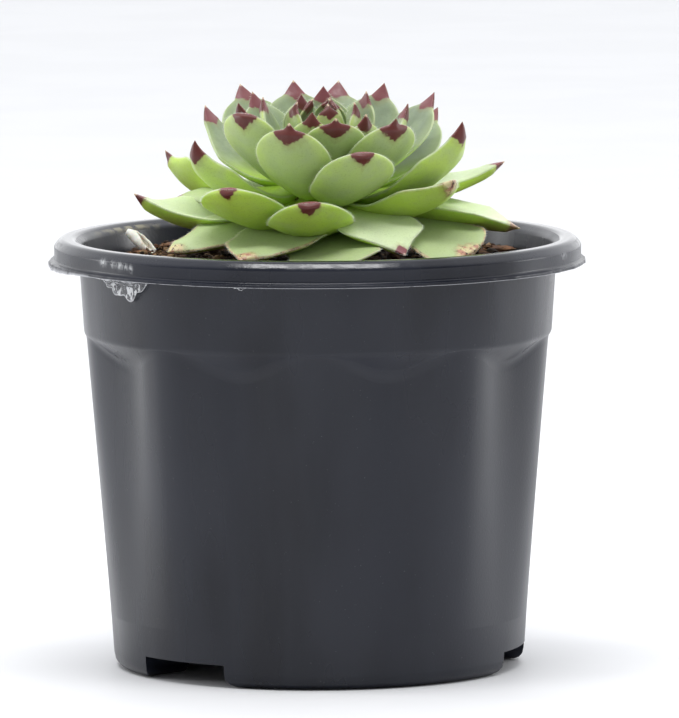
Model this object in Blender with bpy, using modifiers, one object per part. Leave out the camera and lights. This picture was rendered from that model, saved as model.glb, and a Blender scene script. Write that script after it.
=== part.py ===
"""A houseleek rosette growing in a small black plastic nursery pot.

The origin is on the floor at the middle of the pot's base, with +Z up and -Y to the front.
An azimuth is measured from the front (-Y) and grows towards the right (+X).
"""

import math
import random

import bmesh
import bpy
from mathutils import Matrix, Vector, noise
from mathutils.bvhtree import BVHTree

MM = 0.001

# Pot: driving sizes
POT_SEGMENTS = 72
WALL = 1.2 * MM
LIP_RADIUS = 51.0 * MM
LIP_TOP = 77.5 * MM
LIP_BOTTOM = 76.9 * MM
RIM_TOP = 81.8 * MM
RIM_INNER_RADIUS = 45.6 * MM
COLLAR_RADIUS = 50.1 * MM
BAND_TOP_RADIUS = 45.3 * MM
BAND_TOP = 76.6 * MM
BAND_BOTTOM_RADIUS = 44.5 * MM
BAND_BOTTOM = 63.8 * MM
BODY_FOOT_RADIUS = 39.05 * MM
BODY_FOOT = 3.0 * MM
BODY_DRAFT = 0.087
SHOULDER_SLOPE = 0.85
SHOULDER_OFFSET = 0.44 * MM

# Pot: flutes, feet and drainage
FLUTE_COUNT = 9
FLUTE_AZIMUTH = math.radians(19.0)
FLUTE_FOOT = 8.0 * MM
FLUTE_GROWTH = 0.064
FLUTE_SHARPNESS = 1.15
FLOOR_UNDERSIDE = 4.0 * MM
FOOT_INNER_RADIUS = 28.0 * MM
FOOT_FILLET = 2.2 * MM
CHANNEL_AZIMUTHS = [math.radians(a) for a in (-42.0, 78.0, 198.0)]
CHANNEL_HALF_WIDTH = 10.0 * MM
CHANNEL_HEIGHT = 4.3 * MM
CHANNEL_LENGTH = 24.0 * MM
CHANNEL_OVERSHOOT = 4.0 * MM
DRAIN_RADIUS = 3.5 * MM
DRAIN_DEPTH = 6.0 * MM
DRAIN_CENTRE = 31.5 * MM
FLOOR_FILLET = 1.2 * MM

# Heights of the two rings that are moved into flutes and arches, and the inner skin's offset
ARCH_MARK = 60.0 * MM
MIDDLE_MARK = 34.0 * MM
INNER_SHIFT = 0.01 * MM

# Soil
GAP = 0.3 * MM
SOIL_EDGE_LEVEL = 74.6 * MM
SOIL_LEVEL = 77.0 * MM
SOIL_DIP = 0.6 * MM
SOIL_RING_RADII = [r * MM for r in (40.5, 36.0, 31.0, 25.0, 18.0, 11.0)]
SOIL_FALL_START, SOIL_FALL_END = 34.0 * MM, 43.5 * MM
SOIL_CALM_RADIUS = 16.0 * MM
SOIL_EDGE_INSET = 0.25 * MM
SOIL_LUMP_SIZE = 7.0 * MM
SOIL_LUMP_HEIGHT = 0.9 * MM
STEM_RADIUS = 4.0 * MM
STEM_FOOT = 66.0 * MM

# Rosette: its seat in the soil, its lean to the front and the golden angle between leaves
SEAT = Vector((0.2 * MM, 0.0, 77.0 * MM))
LEAN = (math.radians(8.4), math.radians(1.5), 0.0)
GOLDEN_ANGLE = math.radians(137.508)
FIRST_AZIMUTH = math.radians(8.5)
YOUNGEST, OLDEST = -15, 34
LOST_LEAVES = {15, 32}
REACH = 40.0 * MM
CROWN_HEIGHT = 31.4 * MM
SKIRT_HEIGHT = 8.2 * MM
ROOT_LOW, ROOT_HIGH = 9.0 * MM, 21.4 * MM
CORE_RADIUS = 8.0 * MM
CORE_WAIST = 8.0 * MM
CORE_TOP = 25.0 * MM
CORE_BOTTOM = -1.0 * MM
CORE_STEPS = 8
CORE_SEGMENTS = 18
STEM_TOP = 6.0 * MM

# How the leaves change with age
REACH_AGES = 23.5
SINKING_AGE, SINKING_AGES = 17.5, 4.5
WIDTH_AGES = 13.0
YOUNG_CURL, OLD_CURL = 29.0, -14.0
DROOP_START, DROOP_END = 20, 28
WITHERING_AGE, WITHERED_SHARE = 25, 0.85

# One leaf: its sizes, and shares of its length, width and depth of root
LEAF_WIDTH = 17.8 * MM
THINNEST = 1.3 * MM
MARGIN = 0.8 * MM
THICKNESS_SHARE = 0.2
SPOON = 0.22
ROOT_SHARE = 0.42
ROOT_DEPTH = 0.72
WIDEST = 0.55
NECK_SHARE, POINT_SLOPE = 0.2, 0.75
LEAF_STATIONS = (0.0, 0.2, 0.42, 0.62, 0.75, 0.84, 0.9, 0.955)
SECTION_SPOTS = (1.0, 0.45, -0.45, -1.0)
LEAF_SEED = 11

# Leaves that run to their tip in a long slope, by the share of the length that slopes
TAPER = {7: 0.3, 10: 0.35, 11: 0.25, 19: 0.35, 20: 0.4, 21: 0.3, 22: 0.35, 23: 0.45, 24: 0.25}
TAPER.update({25: 0.35, 26: 0.45, 27: 0.45, 28: 0.45, 30: 0.4, 31: 0.6, 33: 0.45, 34: 0.25})

# Leaves whose tip is folded in, so that they end round
FOLDED = {2, 8, 13, 16, 18}

# Leaves that the years have pushed off the rule: turn, reach, lift, roll and extra curl
PUSHED = {
    -8: (0.0, -1.0 * MM, 0.0, 0.0, 0.0),
    -7: (0.0, 0.0, 1.2 * MM, 0.0, 0.0),
    -3: (-20.0, 3.0 * MM, 1.2 * MM, 8.0, 0.0),
    -1: (0.0, 0.0, -1.0 * MM, 0.0, 0.0),
    0: (0.0, 0.0, 1.6 * MM, 0.0, 0.0),
    1: (-5.0, 0.0, 1.0 * MM, 0.0, 0.0),
    2: (33.0, 0.0, 1.4 * MM, 8.0, 6.0),
    3: (-24.0, 0.0, 2.1 * MM, -6.0, 4.0),
    4: (-5.0, 0.0, 0.0, 0.0, 0.0),
    5: (11.0, 0.0, 2.0 * MM, 0.0, 14.0),
    6: (6.0, 0.0, 1.0 * MM, 0.0, 0.0),
    7: (-9.0, 0.0, -2.6 * MM, 8.0, 6.0),
    8: (-10.0, 0.0, -1.4 * MM, 0.0, 6.0),
    9: (9.0, 0.0, 1.0 * MM, 0.0, 0.0),
    10: (-12.0, -2.4 * MM, -2.2 * MM, 10.0, 14.0),
    11: (-14.0, 0.0, 3.4 * MM, -12.0, 4.0),
    12: (-8.0, 0.0, 2.0 * MM, 0.0, 0.0),
    13: (1.5, 2.0 * MM, -7.0 * MM, 0.0, 22.0),
    14: (0.0, 0.0, 1.0 * MM, 0.0, 0.0),
    16: (5.0, 0.0, -0.6 * MM, -6.0, 6.0),
    18: (4.0, 0.0, 1.4 * MM, 6.0, 10.0),
    19: (0.0, 1.5 * MM, 0.0, -8.0, -16.0),
    20: (0.0, 0.0, 0.3 * MM, 34.0, 6.0),
    21: (9.0, 0.5 * MM, -5.9 * MM, -4.0, -36.0),
    22: (0.0, 0.0, -7.0 * MM, 0.0, -20.0),
    23: (-2.0, 1.5 * MM, 1.6 * MM, 28.0, 8.0),
    24: (9.0, 3.0 * MM, -2.8 * MM, 0.0, -20.0),
    25: (0.0, 0.0, -8.5 * MM, 0.0, -22.0),
    26: (-10.0, 0.0, -2.8 * MM, -6.0, 0.0),
    27: (0.0, -5.0 * MM, -3.0 * MM, 0.0, 0.0),
    28: (0.0, -8.0 * MM, 0.0, 0.0, 0.0),
    29: (17.0, -0.5 * MM, -2.6 * MM, 8.0, 10.0),
    30: (0.0, -1.0 * MM, -10.0 * MM, 0.0, -8.0),
    31: (1.0, 0.0, -2.3 * MM, -8.0, 0.0),
    33: (0.0, -6.0 * MM, -6.5 * MM, 0.0, -6.0),
    34: (1.0, 0.0, 0.2 * MM, 0.0, 6.0),
}

# Loose bits on the soil: x, y, half sizes along, across and up, and the turn in degrees
BARK_CHIPS = {
    "bark_chip_left": (-27.0, 21.0, 5.0, 2.6, 1.3, 25.0),
    "bark_chip_left_small": (-33.5, 8.0, 3.0, 1.8, 1.0, -40.0),
    "bark_chip_right": (35.0, 18.5, 5.0, 2.4, 1.2, -35.0),
    "bark_chip_right_small": (38.8, 8.5, 2.6, 1.8, 1.0, 60.0),
}
HUSK_POINTS = [(-31.5, 9.5, 0.0), (-33.3, 11.5, 0.9), (-34.6, 13.4, 2.6), (-36.4, 14.2, 3.2)]
HUSK_RADIUS = 0.8 * MM
DROP_HEIGHT = 90.0

MATERIALS = {
    "black_plastic": ((0.042, 0.044, 0.050), 0.42),
    "potting_mix": ((0.060, 0.036, 0.022), 0.95),
    "leaf_flesh": ((0.300, 0.450, 0.170), 0.50),
    "bark": ((0.240, 0.110, 0.050), 0.90),
    "dry_husk": ((0.720, 0.660, 0.540), 0.85),
}


def clear_scene():
    for thing in list(bpy.data.objects):
        bpy.data.objects.remove(thing, do_unlink=True)


def new_collection(name):
    collection = bpy.data.collections.new(name)
    bpy.context.scene.collection.children.link(collection)
    return collection


def make_material(name):
    colour, roughness = MATERIALS[name]
    material = bpy.data.materials.new(name)
    material.use_nodes = True
    shader = material.node_tree.nodes["Principled BSDF"]
    shader.inputs["Base Color"].default_value = (*colour, 1.0)
    shader.inputs["Roughness"].default_value = roughness
    shader.inputs["Metallic"].default_value = 0.0
    return material


def ease(part):
    """A smooth step from 0 to 1 while part goes from 0 to 1."""
    part = max(0.0, min(1.0, part))
    return part * part * (3.0 - 2.0 * part)


def new_object(name, mesh, collection):
    thing = bpy.data.objects.new(name, mesh)
    collection.objects.link(thing)
    return thing


def finish_piece(thing, material_name, sharp_degrees=35.0):
    thing.data.materials.clear()
    thing.data.materials.append(bpy.data.materials[material_name])
    thing.data.shade_smooth()
    thing.data.set_sharp_from_angle(angle=math.radians(sharp_degrees))


def bake_modifiers(thing):
    """Replace the mesh by the one its modifiers make."""
    graph = bpy.context.evaluated_depsgraph_get()
    baked = bpy.data.meshes.new_from_object(thing.evaluated_get(graph))
    old = thing.data
    thing.modifiers.clear()
    thing.data = baked
    bpy.data.meshes.remove(old)


def turn_profile(name, profile, segments, collection):
    """A turned solid: the profile of (radius, height) points swept once round Z."""
    mesh = bpy.data.meshes.new(name)
    points = [(radius, 0.0, height) for radius, height in profile]
    mesh.from_pydata(points, [(i, i + 1) for i in range(len(points) - 1)], [])
    thing = new_object(name, mesh, collection)
    screw = thing.modifiers.new("turn", "SCREW")
    screw.axis = "Z"
    screw.angle = math.tau
    screw.steps = segments
    screw.render_steps = segments
    screw.use_merge_vertices = True
    screw.merge_threshold = 0.00001
    bake_modifiers(thing)
    return thing


def cut(thing, cutter):
    boolean = thing.modifiers.new("cut_" + cutter.name, "BOOLEAN")
    boolean.operation = "DIFFERENCE"
    boolean.solver = "EXACT"
    boolean.object = cutter


def mark_as_cutter(thing):
    thing.hide_render = True
    thing.display_type = "WIRE"


# Pot


def body_radius(height):
    return BODY_FOOT_RADIUS + BODY_DRAFT * (height - BODY_FOOT)


def groove(azimuth):
    """1 in the middle of a flute and 0 on the ridge between two."""
    wave = 0.5 + 0.5 * math.cos(FLUTE_COUNT * (azimuth - FLUTE_AZIMUTH))
    return wave**FLUTE_SHARPNESS


def wall_radius(height, azimuth):
    depth = FLUTE_GROWTH * max(0.0, height - FLUTE_FOOT)
    return body_radius(height) - depth * groove(azimuth)


def arch_height(azimuth):
    """Where the sloping shoulder meets the fluted wall, lower in each flute."""
    flute = FLUTE_GROWTH * groove(azimuth)
    level = body_radius(0.0) - BAND_BOTTOM_RADIUS + SHOULDER_SLOPE * BAND_BOTTOM
    return (level + flute * FLUTE_FOOT) / (SHOULDER_SLOPE - BODY_DRAFT + flute)


def azimuth_of(point):
    return math.atan2(point.x, -point.y)


def flute_wall(thing, arch_mark, middle_mark, inset, lift):
    """Move the rings at two marked heights out of the round, into flutes and arches."""
    for vertex in thing.data.vertices:
        azimuth = azimuth_of(vertex.co)
        height = vertex.co.z
        if abs(height - arch_mark) < 1e-6:
            new_height = arch_height(azimuth)
            new_radius = wall_radius(new_height, azimuth) - inset
            new_height += lift
        elif abs(height - middle_mark) < 1e-6:
            new_height = height
            new_radius = wall_radius(height, azimuth) - inset
        else:
            continue
        flat = Vector((math.sin(azimuth), -math.cos(azimuth))) * new_radius
        vertex.co = (flat.x, flat.y, new_height)


def pot_profile():
    floor_top = FLOOR_UNDERSIDE + WALL
    inner_foot = floor_top + FLOOR_FILLET
    inside = [
        (0.0, floor_top),
        (body_radius(floor_top) - WALL - FLOOR_FILLET, floor_top),
        (body_radius(inner_foot) - WALL, inner_foot),
        (body_radius(FLUTE_FOOT) - WALL, FLUTE_FOOT + INNER_SHIFT),
        (body_radius(MIDDLE_MARK) - WALL, MIDDLE_MARK + INNER_SHIFT),
        (body_radius(ARCH_MARK) - WALL, ARCH_MARK + INNER_SHIFT),
        (BAND_BOTTOM_RADIUS - WALL, BAND_BOTTOM + SHOULDER_OFFSET),
        (BAND_TOP_RADIUS - WALL, BAND_TOP + 0.6 * MM),
    ]
    rim = [
        (RIM_INNER_RADIUS, RIM_TOP - 0.9 * MM),
        (RIM_INNER_RADIUS + 0.8 * MM, RIM_TOP),
        (COLLAR_RADIUS - 1.3 * MM, RIM_TOP),
        (COLLAR_RADIUS - 0.3 * MM, RIM_TOP - 0.5 * MM),
        (COLLAR_RADIUS + 0.1 * MM, RIM_TOP - 1.3 * MM),
        (COLLAR_RADIUS, LIP_TOP + 0.5 * MM),
        (LIP_RADIUS, LIP_TOP),
        (LIP_RADIUS, LIP_BOTTOM),
        (COLLAR_RADIUS - WALL, LIP_BOTTOM + 0.2 * MM),
        (COLLAR_RADIUS - WALL - 0.2 * MM, RIM_TOP - 1.5 * MM),
        (RIM_INNER_RADIUS + WALL, RIM_TOP - 1.5 * MM),
        (BAND_TOP_RADIUS, BAND_TOP),
    ]
    outside = [
        (BAND_BOTTOM_RADIUS, BAND_BOTTOM),
        (body_radius(ARCH_MARK), ARCH_MARK),
        (body_radius(MIDDLE_MARK), MIDDLE_MARK),
        (body_radius(FLUTE_FOOT), FLUTE_FOOT),
        (BODY_FOOT_RADIUS, BODY_FOOT),
        (BODY_FOOT_RADIUS - 0.3 * MM, 1.4 * MM),
        (BODY_FOOT_RADIUS - 1.0 * MM, 0.4 * MM),
        (BODY_FOOT_RADIUS - 2.2 * MM, 0.0),
        (FOOT_INNER_RADIUS, 0.0),
        (FOOT_INNER_RADIUS - 0.6 * MM, FLOOR_UNDERSIDE),
        (0.0, FLOOR_UNDERSIDE),
    ]
    return inside + rim + outside


def flat_prism(name, outline, depth, collection):
    """A solid of even depth along its local Z from a closed flat outline."""
    curve = bpy.data.curves.new(name, "CURVE")
    curve.dimensions = "2D"
    curve.fill_mode = "BOTH"
    curve.extrude = depth / 2
    spline = curve.splines.new("POLY")
    spline.points.add(len(outline) - 1)
    for spot, (x, y) in zip(spline.points, outline):
        spot.co = (x, y, 0.0, 1.0)
    spline.use_cyclic_u = True
    guide = new_object(name + "_outline", curve, collection)
    graph = bpy.context.evaluated_depsgraph_get()
    mesh = bpy.data.meshes.new_from_object(guide.evaluated_get(graph))
    bpy.data.objects.remove(guide, do_unlink=True)
    bm = bmesh.new()
    bm.from_mesh(mesh)
    bmesh.ops.remove_doubles(bm, verts=bm.verts, dist=0.00001)
    bmesh.ops.recalc_face_normals(bm, faces=bm.faces)
    bm.to_mesh(mesh)
    bm.free()
    return new_object(name, mesh, collection)


def channel_outline():
    """The front of a drainage channel, with the feet's lower corners rounded off."""
    below = -1.0 * MM
    side = CHANNEL_HALF_WIDTH
    arc = []
    for step in range(5):
        angle = math.radians(22.5 * step)
        across = side + FOOT_FILLET * (1.0 - math.cos(angle))
        arc.append((across, FOOT_FILLET * (1.0 - math.sin(angle))))
    right = [(side, CHANNEL_HEIGHT)] + arc + [(side + FOOT_FILLET, below)]
    left = [(-x, y) for x, y in reversed(right)]
    return right + left


def build_pot(collection, cutters):
    pot = turn_profile("pot", pot_profile(), POT_SEGMENTS, collection)
    flute_wall(pot, ARCH_MARK, MIDDLE_MARK, 0.0, 0.0)
    flute_wall(pot, ARCH_MARK + INNER_SHIFT, MIDDLE_MARK + INNER_SHIFT, WALL, SHOULDER_OFFSET)
    channel_centre = BODY_FOOT_RADIUS + CHANNEL_OVERSHOOT - CHANNEL_LENGTH / 2
    for number, azimuth in enumerate(CHANNEL_AZIMUTHS, start=1):
        outward = Vector((math.sin(azimuth), -math.cos(azimuth), 0.0))
        channel = flat_prism(f"channel_{number}", channel_outline(), CHANNEL_LENGTH, cutters)
        channel.matrix_world = (
            Matrix.Translation(outward * channel_centre)
            @ Matrix.Rotation(azimuth, 4, "Z")
            @ Matrix.Rotation(math.radians(90.0), 4, "X")
        )
        mark_as_cutter(channel)
        cut(pot, channel)
        bpy.ops.mesh.primitive_cylinder_add(
            vertices=20,
            radius=DRAIN_RADIUS,
            depth=DRAIN_DEPTH,
            location=outward * DRAIN_CENTRE + Vector((0.0, 0.0, FLOOR_UNDERSIDE)),
        )
        drain = bpy.context.active_object
        drain.name = f"drain_{number}"
        for home in list(drain.users_collection):
            home.objects.unlink(drain)
        cutters.objects.link(drain)
        mark_as_cutter(drain)
        cut(pot, drain)
    finish_piece(pot, "black_plastic")
    return pot


# Soil


def soil_height(x, y):
    """The top of the potting mix: mounded under the plant, lower at the wall, lumpy."""
    radius = math.hypot(x, y)
    fall = ease((radius - SOIL_FALL_START) / (SOIL_FALL_END - SOIL_FALL_START))
    dip = SOIL_DIP * max(0.0, 1.0 - radius / SOIL_CALM_RADIUS)
    spot = Vector((x, y, 0.0)) / SOIL_LUMP_SIZE
    lumps = noise.noise(spot) + 0.5 * noise.noise(spot * 2.3 + Vector((5.0, 1.0, 2.0)))
    strength = SOIL_LUMP_HEIGHT * max(0.0, min(1.0, radius / SOIL_CALM_RADIUS - 0.5))
    return SOIL_LEVEL + (SOIL_EDGE_LEVEL - SOIL_LEVEL) * fall - dip + strength * lumps


def build_soil(collection):
    inset = WALL + GAP
    floor = FLOOR_UNDERSIDE + WALL + GAP
    foot = floor + FLOOR_FILLET
    edge_radius = BAND_TOP_RADIUS - inset - SOIL_EDGE_INSET
    hole = STEM_RADIUS + GAP
    profile = [(0.0, STEM_FOOT - GAP), (hole, STEM_FOOT - GAP), (hole, SOIL_LEVEL)]
    profile += [(radius, SOIL_LEVEL) for radius in reversed(SOIL_RING_RADII)]
    profile += [
        (edge_radius, SOIL_LEVEL),
        (BAND_BOTTOM_RADIUS - inset, BAND_BOTTOM + SHOULDER_OFFSET),
        (body_radius(ARCH_MARK) - inset, ARCH_MARK),
        (body_radius(MIDDLE_MARK) - inset, MIDDLE_MARK),
        (body_radius(FLUTE_FOOT) - inset, FLUTE_FOOT),
        (body_radius(foot) - inset, foot),
        (body_radius(floor) - inset - FLOOR_FILLET, floor),
        (0.0, floor),
    ]
    soil = turn_profile("soil", profile, POT_SEGMENTS, collection)
    flute_wall(soil, ARCH_MARK, MIDDLE_MARK, inset, SHOULDER_OFFSET)
    for vertex in soil.data.vertices:
        if abs(vertex.co.z - SOIL_LEVEL) < 1e-6:
            vertex.co.z = soil_height(vertex.co.x, vertex.co.y)
    finish_piece(soil, "potting_mix", 50.0)
    return soil


# Rosette


def age_fraction(age):
    return (age - YOUNGEST + 2) / (OLDEST - YOUNGEST + 2)


def tip_reach(age):
    """How far the tip stands from the rosette's axis, growing with age and then holding."""
    part = (age - YOUNGEST + 2) / REACH_AGES
    return REACH * (1.0 - math.exp(-(part**1.45)))


def tip_height(age):
    """Young leaves stand level with the crown; old ones sink to the skirt."""
    share = 1.0 / (1.0 + math.exp((age - SINKING_AGE) / SINKING_AGES))
    return SKIRT_HEIGHT + (CROWN_HEIGHT - SKIRT_HEIGHT) * share


def core_radius(height):
    reach = CORE_TOP - CORE_WAIST if height > CORE_WAIST else CORE_WAIST - CORE_BOTTOM
    part = min(1.0, abs(height - CORE_WAIST) / reach)
    return CORE_RADIUS * math.sqrt(max(0.0, 1.0 - part * part))


def leaf_width(age):
    return LEAF_WIDTH * (1.0 - math.exp(-(age - YOUNGEST + 3) / WIDTH_AGES))


def leaf_bend(age):
    """Degrees that the blade curls upward; the oldest blades droop instead."""
    old = ease((age - DROOP_START) / (DROOP_END - DROOP_START))
    return YOUNG_CURL + (OLD_CURL - YOUNG_CURL) * old


def blade_half_width(left, half, length, age):
    """Half-width where `left` is still to go to the tip: narrow root, round end, small point."""
    blunt = age in FOLDED
    swell = ROOT_SHARE + (1.0 - ROOT_SHARE) * min(1.0, (1.0 - left / length) / WIDEST) ** 0.8
    neck = 0.0 if blunt else NECK_SHARE * half
    share = min(1.0, max(0.0, left - neck) / half)
    dome = math.sqrt(1.0 - (1.0 - share) ** 2)
    if age in TAPER:
        dome *= min(1.0, left / (TAPER[age] * length))
    point = 0.0 if blunt else POINT_SLOPE * min(left, 0.4 * half)
    return half * (swell**3 * dome**3 + (point / half) ** 3) ** (1 / 3)


def leaf_path(root, tip, bend):
    """A cubic curve in the upright plane of the leaf, given as a function of t."""
    chord = tip - root
    length = chord.length
    lie = math.atan2(chord.y, chord.x)
    first = Vector((math.cos(lie - bend), math.sin(lie - bend))) * (length / 3)
    last = Vector((math.cos(lie + bend), math.sin(lie + bend))) * (length / 3)
    control = (root, root + first, tip - last, tip)

    def at(t):
        s = 1.0 - t
        a, b, c, d = control
        place = a * s**3 + b * 3 * s * s * t + c * 3 * s * t * t + d * t**3
        heading = (b - a) * 3 * s * s + (c - b) * 6 * s * t + (d - c) * 3 * t * t
        return place, heading.normalized()

    return at


def leaf_section(half_width, thickness, cup):
    """The cross-section's points, across and up: spoon-shaped above, keeled below."""
    margin = min(MARGIN, thickness)
    upper = []
    lower = []
    for spot in SECTION_SPOTS:
        body = margin + (thickness - margin) * (1.0 - spot * spot) ** 0.8
        rise = cup * half_width * spot * spot
        upper.append((spot * half_width, rise + body / 2))
        lower.append((spot * half_width, rise - body / 2))
    return upper + lower[::-1]


def leaf_mesh(name, age, rng):
    turn, reach, lift, roll, curl = PUSHED.get(age, (0.0, 0.0, 0.0, 0.0, 0.0))
    turn += rng.uniform(-2.5, 2.5)
    roll += rng.uniform(-5.0, 5.0)
    lift += rng.uniform(-0.4, 0.4) * MM
    azimuth = FIRST_AZIMUTH + GOLDEN_ANGLE * age + math.radians(turn)
    root_height = ROOT_LOW + (ROOT_HIGH - ROOT_LOW) * (1.0 - age_fraction(age)) ** 1.2
    root = Vector((ROOT_DEPTH * core_radius(root_height), root_height))
    tip = Vector((tip_reach(age) + reach, tip_height(age) + lift))
    path = leaf_path(root, tip, math.radians(leaf_bend(age) + curl))
    half = leaf_width(age) / 2
    length = (tip - root).length
    thickness = max(THINNEST, THICKNESS_SHARE * leaf_width(age))
    if age > WITHERING_AGE:
        thickness *= WITHERED_SHARE
    outward = Vector((math.sin(azimuth), -math.cos(azimuth), 0.0))
    side = Vector((math.cos(azimuth), math.sin(azimuth), 0.0))
    up = Vector((0.0, 0.0, 1.0))
    bm = bmesh.new()
    rings = []
    for t in LEAF_STATIONS:
        place, heading = path(t)
        ahead = outward * heading.x + up * heading.y
        tilt = Matrix.Rotation(math.radians(roll) * t, 3, ahead)
        across = tilt @ side
        face = tilt @ (outward * -heading.y + up * heading.x)
        centre = outward * place.x + up * place.y
        body = thickness * (1.0 - 0.45 * t * t)
        width = blade_half_width((1.0 - t) * length, half, length, age)
        section = leaf_section(width, body, SPOON * (1.0 - 0.5 * t))
        rings.append([bm.verts.new(centre + across * x + face * y) for x, y in section])
    place, _ = path(1.0)
    point = bm.verts.new(outward * place.x + up * place.y)
    count = len(rings[0])
    bm.faces.new(rings[0])
    for near, far in zip(rings, rings[1:]):
        for i in range(count):
            j = (i + 1) % count
            bm.faces.new((near[i], far[i], far[j], near[j]))
    for i in range(count):
        bm.faces.new((rings[-1][i], point, rings[-1][(i + 1) % count]))
    bmesh.ops.triangulate(bm, faces=bm.faces)
    bmesh.ops.recalc_face_normals(bm, faces=bm.faces)
    mesh = bpy.data.meshes.new(name)
    bm.to_mesh(mesh)
    bm.free()
    return mesh


def core_profile():
    profile = []
    for step in range(CORE_STEPS + 1):
        share = (1.0 - math.cos(math.pi * step / CORE_STEPS)) / 2.0
        height = CORE_TOP + (CORE_BOTTOM - CORE_TOP) * share
        profile.append((core_radius(height), height))
    profile[0] = (0.0, CORE_TOP)
    profile[-1] = (0.0, CORE_BOTTOM)
    return profile


def drop_sealed_scraps(thing):
    """Keep the one outer skin, so that each hollow that fusing sealed is solid."""
    bm = bmesh.new()
    bm.from_mesh(thing.data)
    bm.faces.ensure_lookup_table()
    unseen = set(bm.faces)
    skins = []
    while unseen:
        front = [unseen.pop()]
        skin = list(front)
        while front:
            around = {near for edge in front.pop().edges for near in edge.link_faces}
            fresh = around & unseen
            unseen -= fresh
            front.extend(fresh)
            skin.extend(fresh)
        skins.append(skin)
    skins.sort(key=len)
    scraps = [face for skin in skins[:-1] for face in skin]
    bmesh.ops.delete(bm, geom=scraps, context="FACES")
    loose = [vertex for vertex in bm.verts if not vertex.link_faces]
    bmesh.ops.delete(bm, geom=loose, context="VERTS")
    bm.to_mesh(thing.data)
    bm.free()


def build_rosette(collection):
    rosette = turn_profile("rosette", core_profile(), CORE_SEGMENTS, collection)
    rosette.location = SEAT
    rosette.rotation_euler = LEAN
    pieces = new_collection("rosette_pieces")
    stem_top = SEAT.z + STEM_TOP
    bpy.ops.mesh.primitive_cylinder_add(
        vertices=16,
        radius=STEM_RADIUS,
        depth=stem_top - STEM_FOOT,
        location=(0.0, 0.0, (stem_top + STEM_FOOT) / 2),
    )
    stem = bpy.context.active_object
    for home in list(stem.users_collection):
        home.objects.unlink(stem)
    pieces.objects.link(stem)
    rng = random.Random(LEAF_SEED)
    for age in range(YOUNGEST, OLDEST + 1):
        mesh = leaf_mesh(f"leaf_{age}", age, rng)
        if age in LOST_LEAVES:
            bpy.data.meshes.remove(mesh)
            continue
        leaf = new_object(f"leaf_{age}", mesh, pieces)
        leaf.location = SEAT
        leaf.rotation_euler = LEAN
    union = rosette.modifiers.new("grow_together", "BOOLEAN")
    union.operation = "UNION"
    union.solver = "EXACT"
    union.operand_type = "COLLECTION"
    union.collection = pieces
    bake_modifiers(rosette)
    for thing in list(pieces.objects):
        bpy.data.objects.remove(thing, do_unlink=True)
    bpy.data.collections.remove(pieces)
    drop_sealed_scraps(rosette)
    finish_piece(rosette, "leaf_flesh", 45.0)
    return rosette


# Loose bits


def rest_on_soil(mesh, soil):
    """Lower the mesh until its nearest spot lies one gap above the soil."""
    ground = BVHTree.FromPolygons(
        [vertex.co.copy() for vertex in soil.data.vertices],
        [tuple(face.vertices) for face in soil.data.polygons],
    )
    down = Vector((0.0, 0.0, -1.0))
    gaps = []
    for vertex in mesh.vertices:
        hit, _, _, distance = ground.ray_cast(vertex.co, down)
        if hit is not None:
            gaps.append(distance)
    mesh.transform(Matrix.Translation((0.0, 0.0, GAP - min(gaps))))


def build_bark_chip(name, collection, soil):
    x, y, along, across, high, turn = BARK_CHIPS[name]
    bm = bmesh.new()
    bmesh.ops.create_icosphere(bm, subdivisions=1, radius=1.0)
    for vertex in bm.verts:
        rough = 1.0 + 0.35 * noise.noise(vertex.co * 1.7 + Vector((x, y, along)))
        vertex.co *= rough
        vertex.co.z = max(-0.6, min(0.6, vertex.co.z))
    mesh = bpy.data.meshes.new(name)
    bm.to_mesh(mesh)
    bm.free()
    mesh.transform(Matrix.Diagonal((along * MM, across * MM, high * MM, 1.0)))
    mesh.transform(Matrix.Rotation(math.radians(turn), 4, "Z"))
    mesh.transform(Matrix.Translation((x * MM, y * MM, DROP_HEIGHT * MM)))
    rest_on_soil(mesh, soil)
    finish_piece(new_object(name, mesh, collection), "bark")


def build_husk(collection, soil):
    curve = bpy.data.curves.new("husk_line", "CURVE")
    curve.dimensions = "3D"
    curve.bevel_depth = HUSK_RADIUS
    curve.bevel_resolution = 2
    curve.use_fill_caps = True
    spline = curve.splines.new("POLY")
    spline.points.add(len(HUSK_POINTS) - 1)
    for spot, (x, y, z) in zip(spline.points, HUSK_POINTS):
        spot.co = (x * MM, y * MM, (z + DROP_HEIGHT) * MM, 1.0)
    guide = new_object("husk_line", curve, collection)
    graph = bpy.context.evaluated_depsgraph_get()
    mesh = bpy.data.meshes.new_from_object(guide.evaluated_get(graph))
    bpy.data.objects.remove(guide, do_unlink=True)
    bm = bmesh.new()
    bm.from_mesh(mesh)
    bmesh.ops.remove_doubles(bm, verts=bm.verts, dist=0.00001)
    bmesh.ops.recalc_face_normals(bm, faces=bm.faces)
    bm.to_mesh(mesh)
    bm.free()
    rest_on_soil(mesh, soil)
    finish_piece(new_object("husk_pale", mesh, collection), "dry_husk")


def main():
    clear_scene()
    parts = new_collection("potted_houseleek")
    cutters = new_collection("cutters")
    for name in MATERIALS:
        make_material(name)
    build_pot(parts, cutters)
    soil = build_soil(parts)
    build_rosette(parts)
    for name in BARK_CHIPS:
        build_bark_chip(name, parts, soil)
    build_husk(parts, soil)


main()
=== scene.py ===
# %% [markdown]
# # A houseleek in a small black nursery pot
#
# The plant is a rosette of thick waxy leaves with maroon points, and it stands in a thin moulded
# pot full of dark potting mix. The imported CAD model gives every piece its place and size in
# metres. This script dresses that model: it makes a finer mesh for each piece from the same rules
# and sizes, and then gives each one a procedural finish.

import math
import random

import bmesh
import bpy
import numpy as np
from mathutils import Euler, Matrix, Vector, noise


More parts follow.
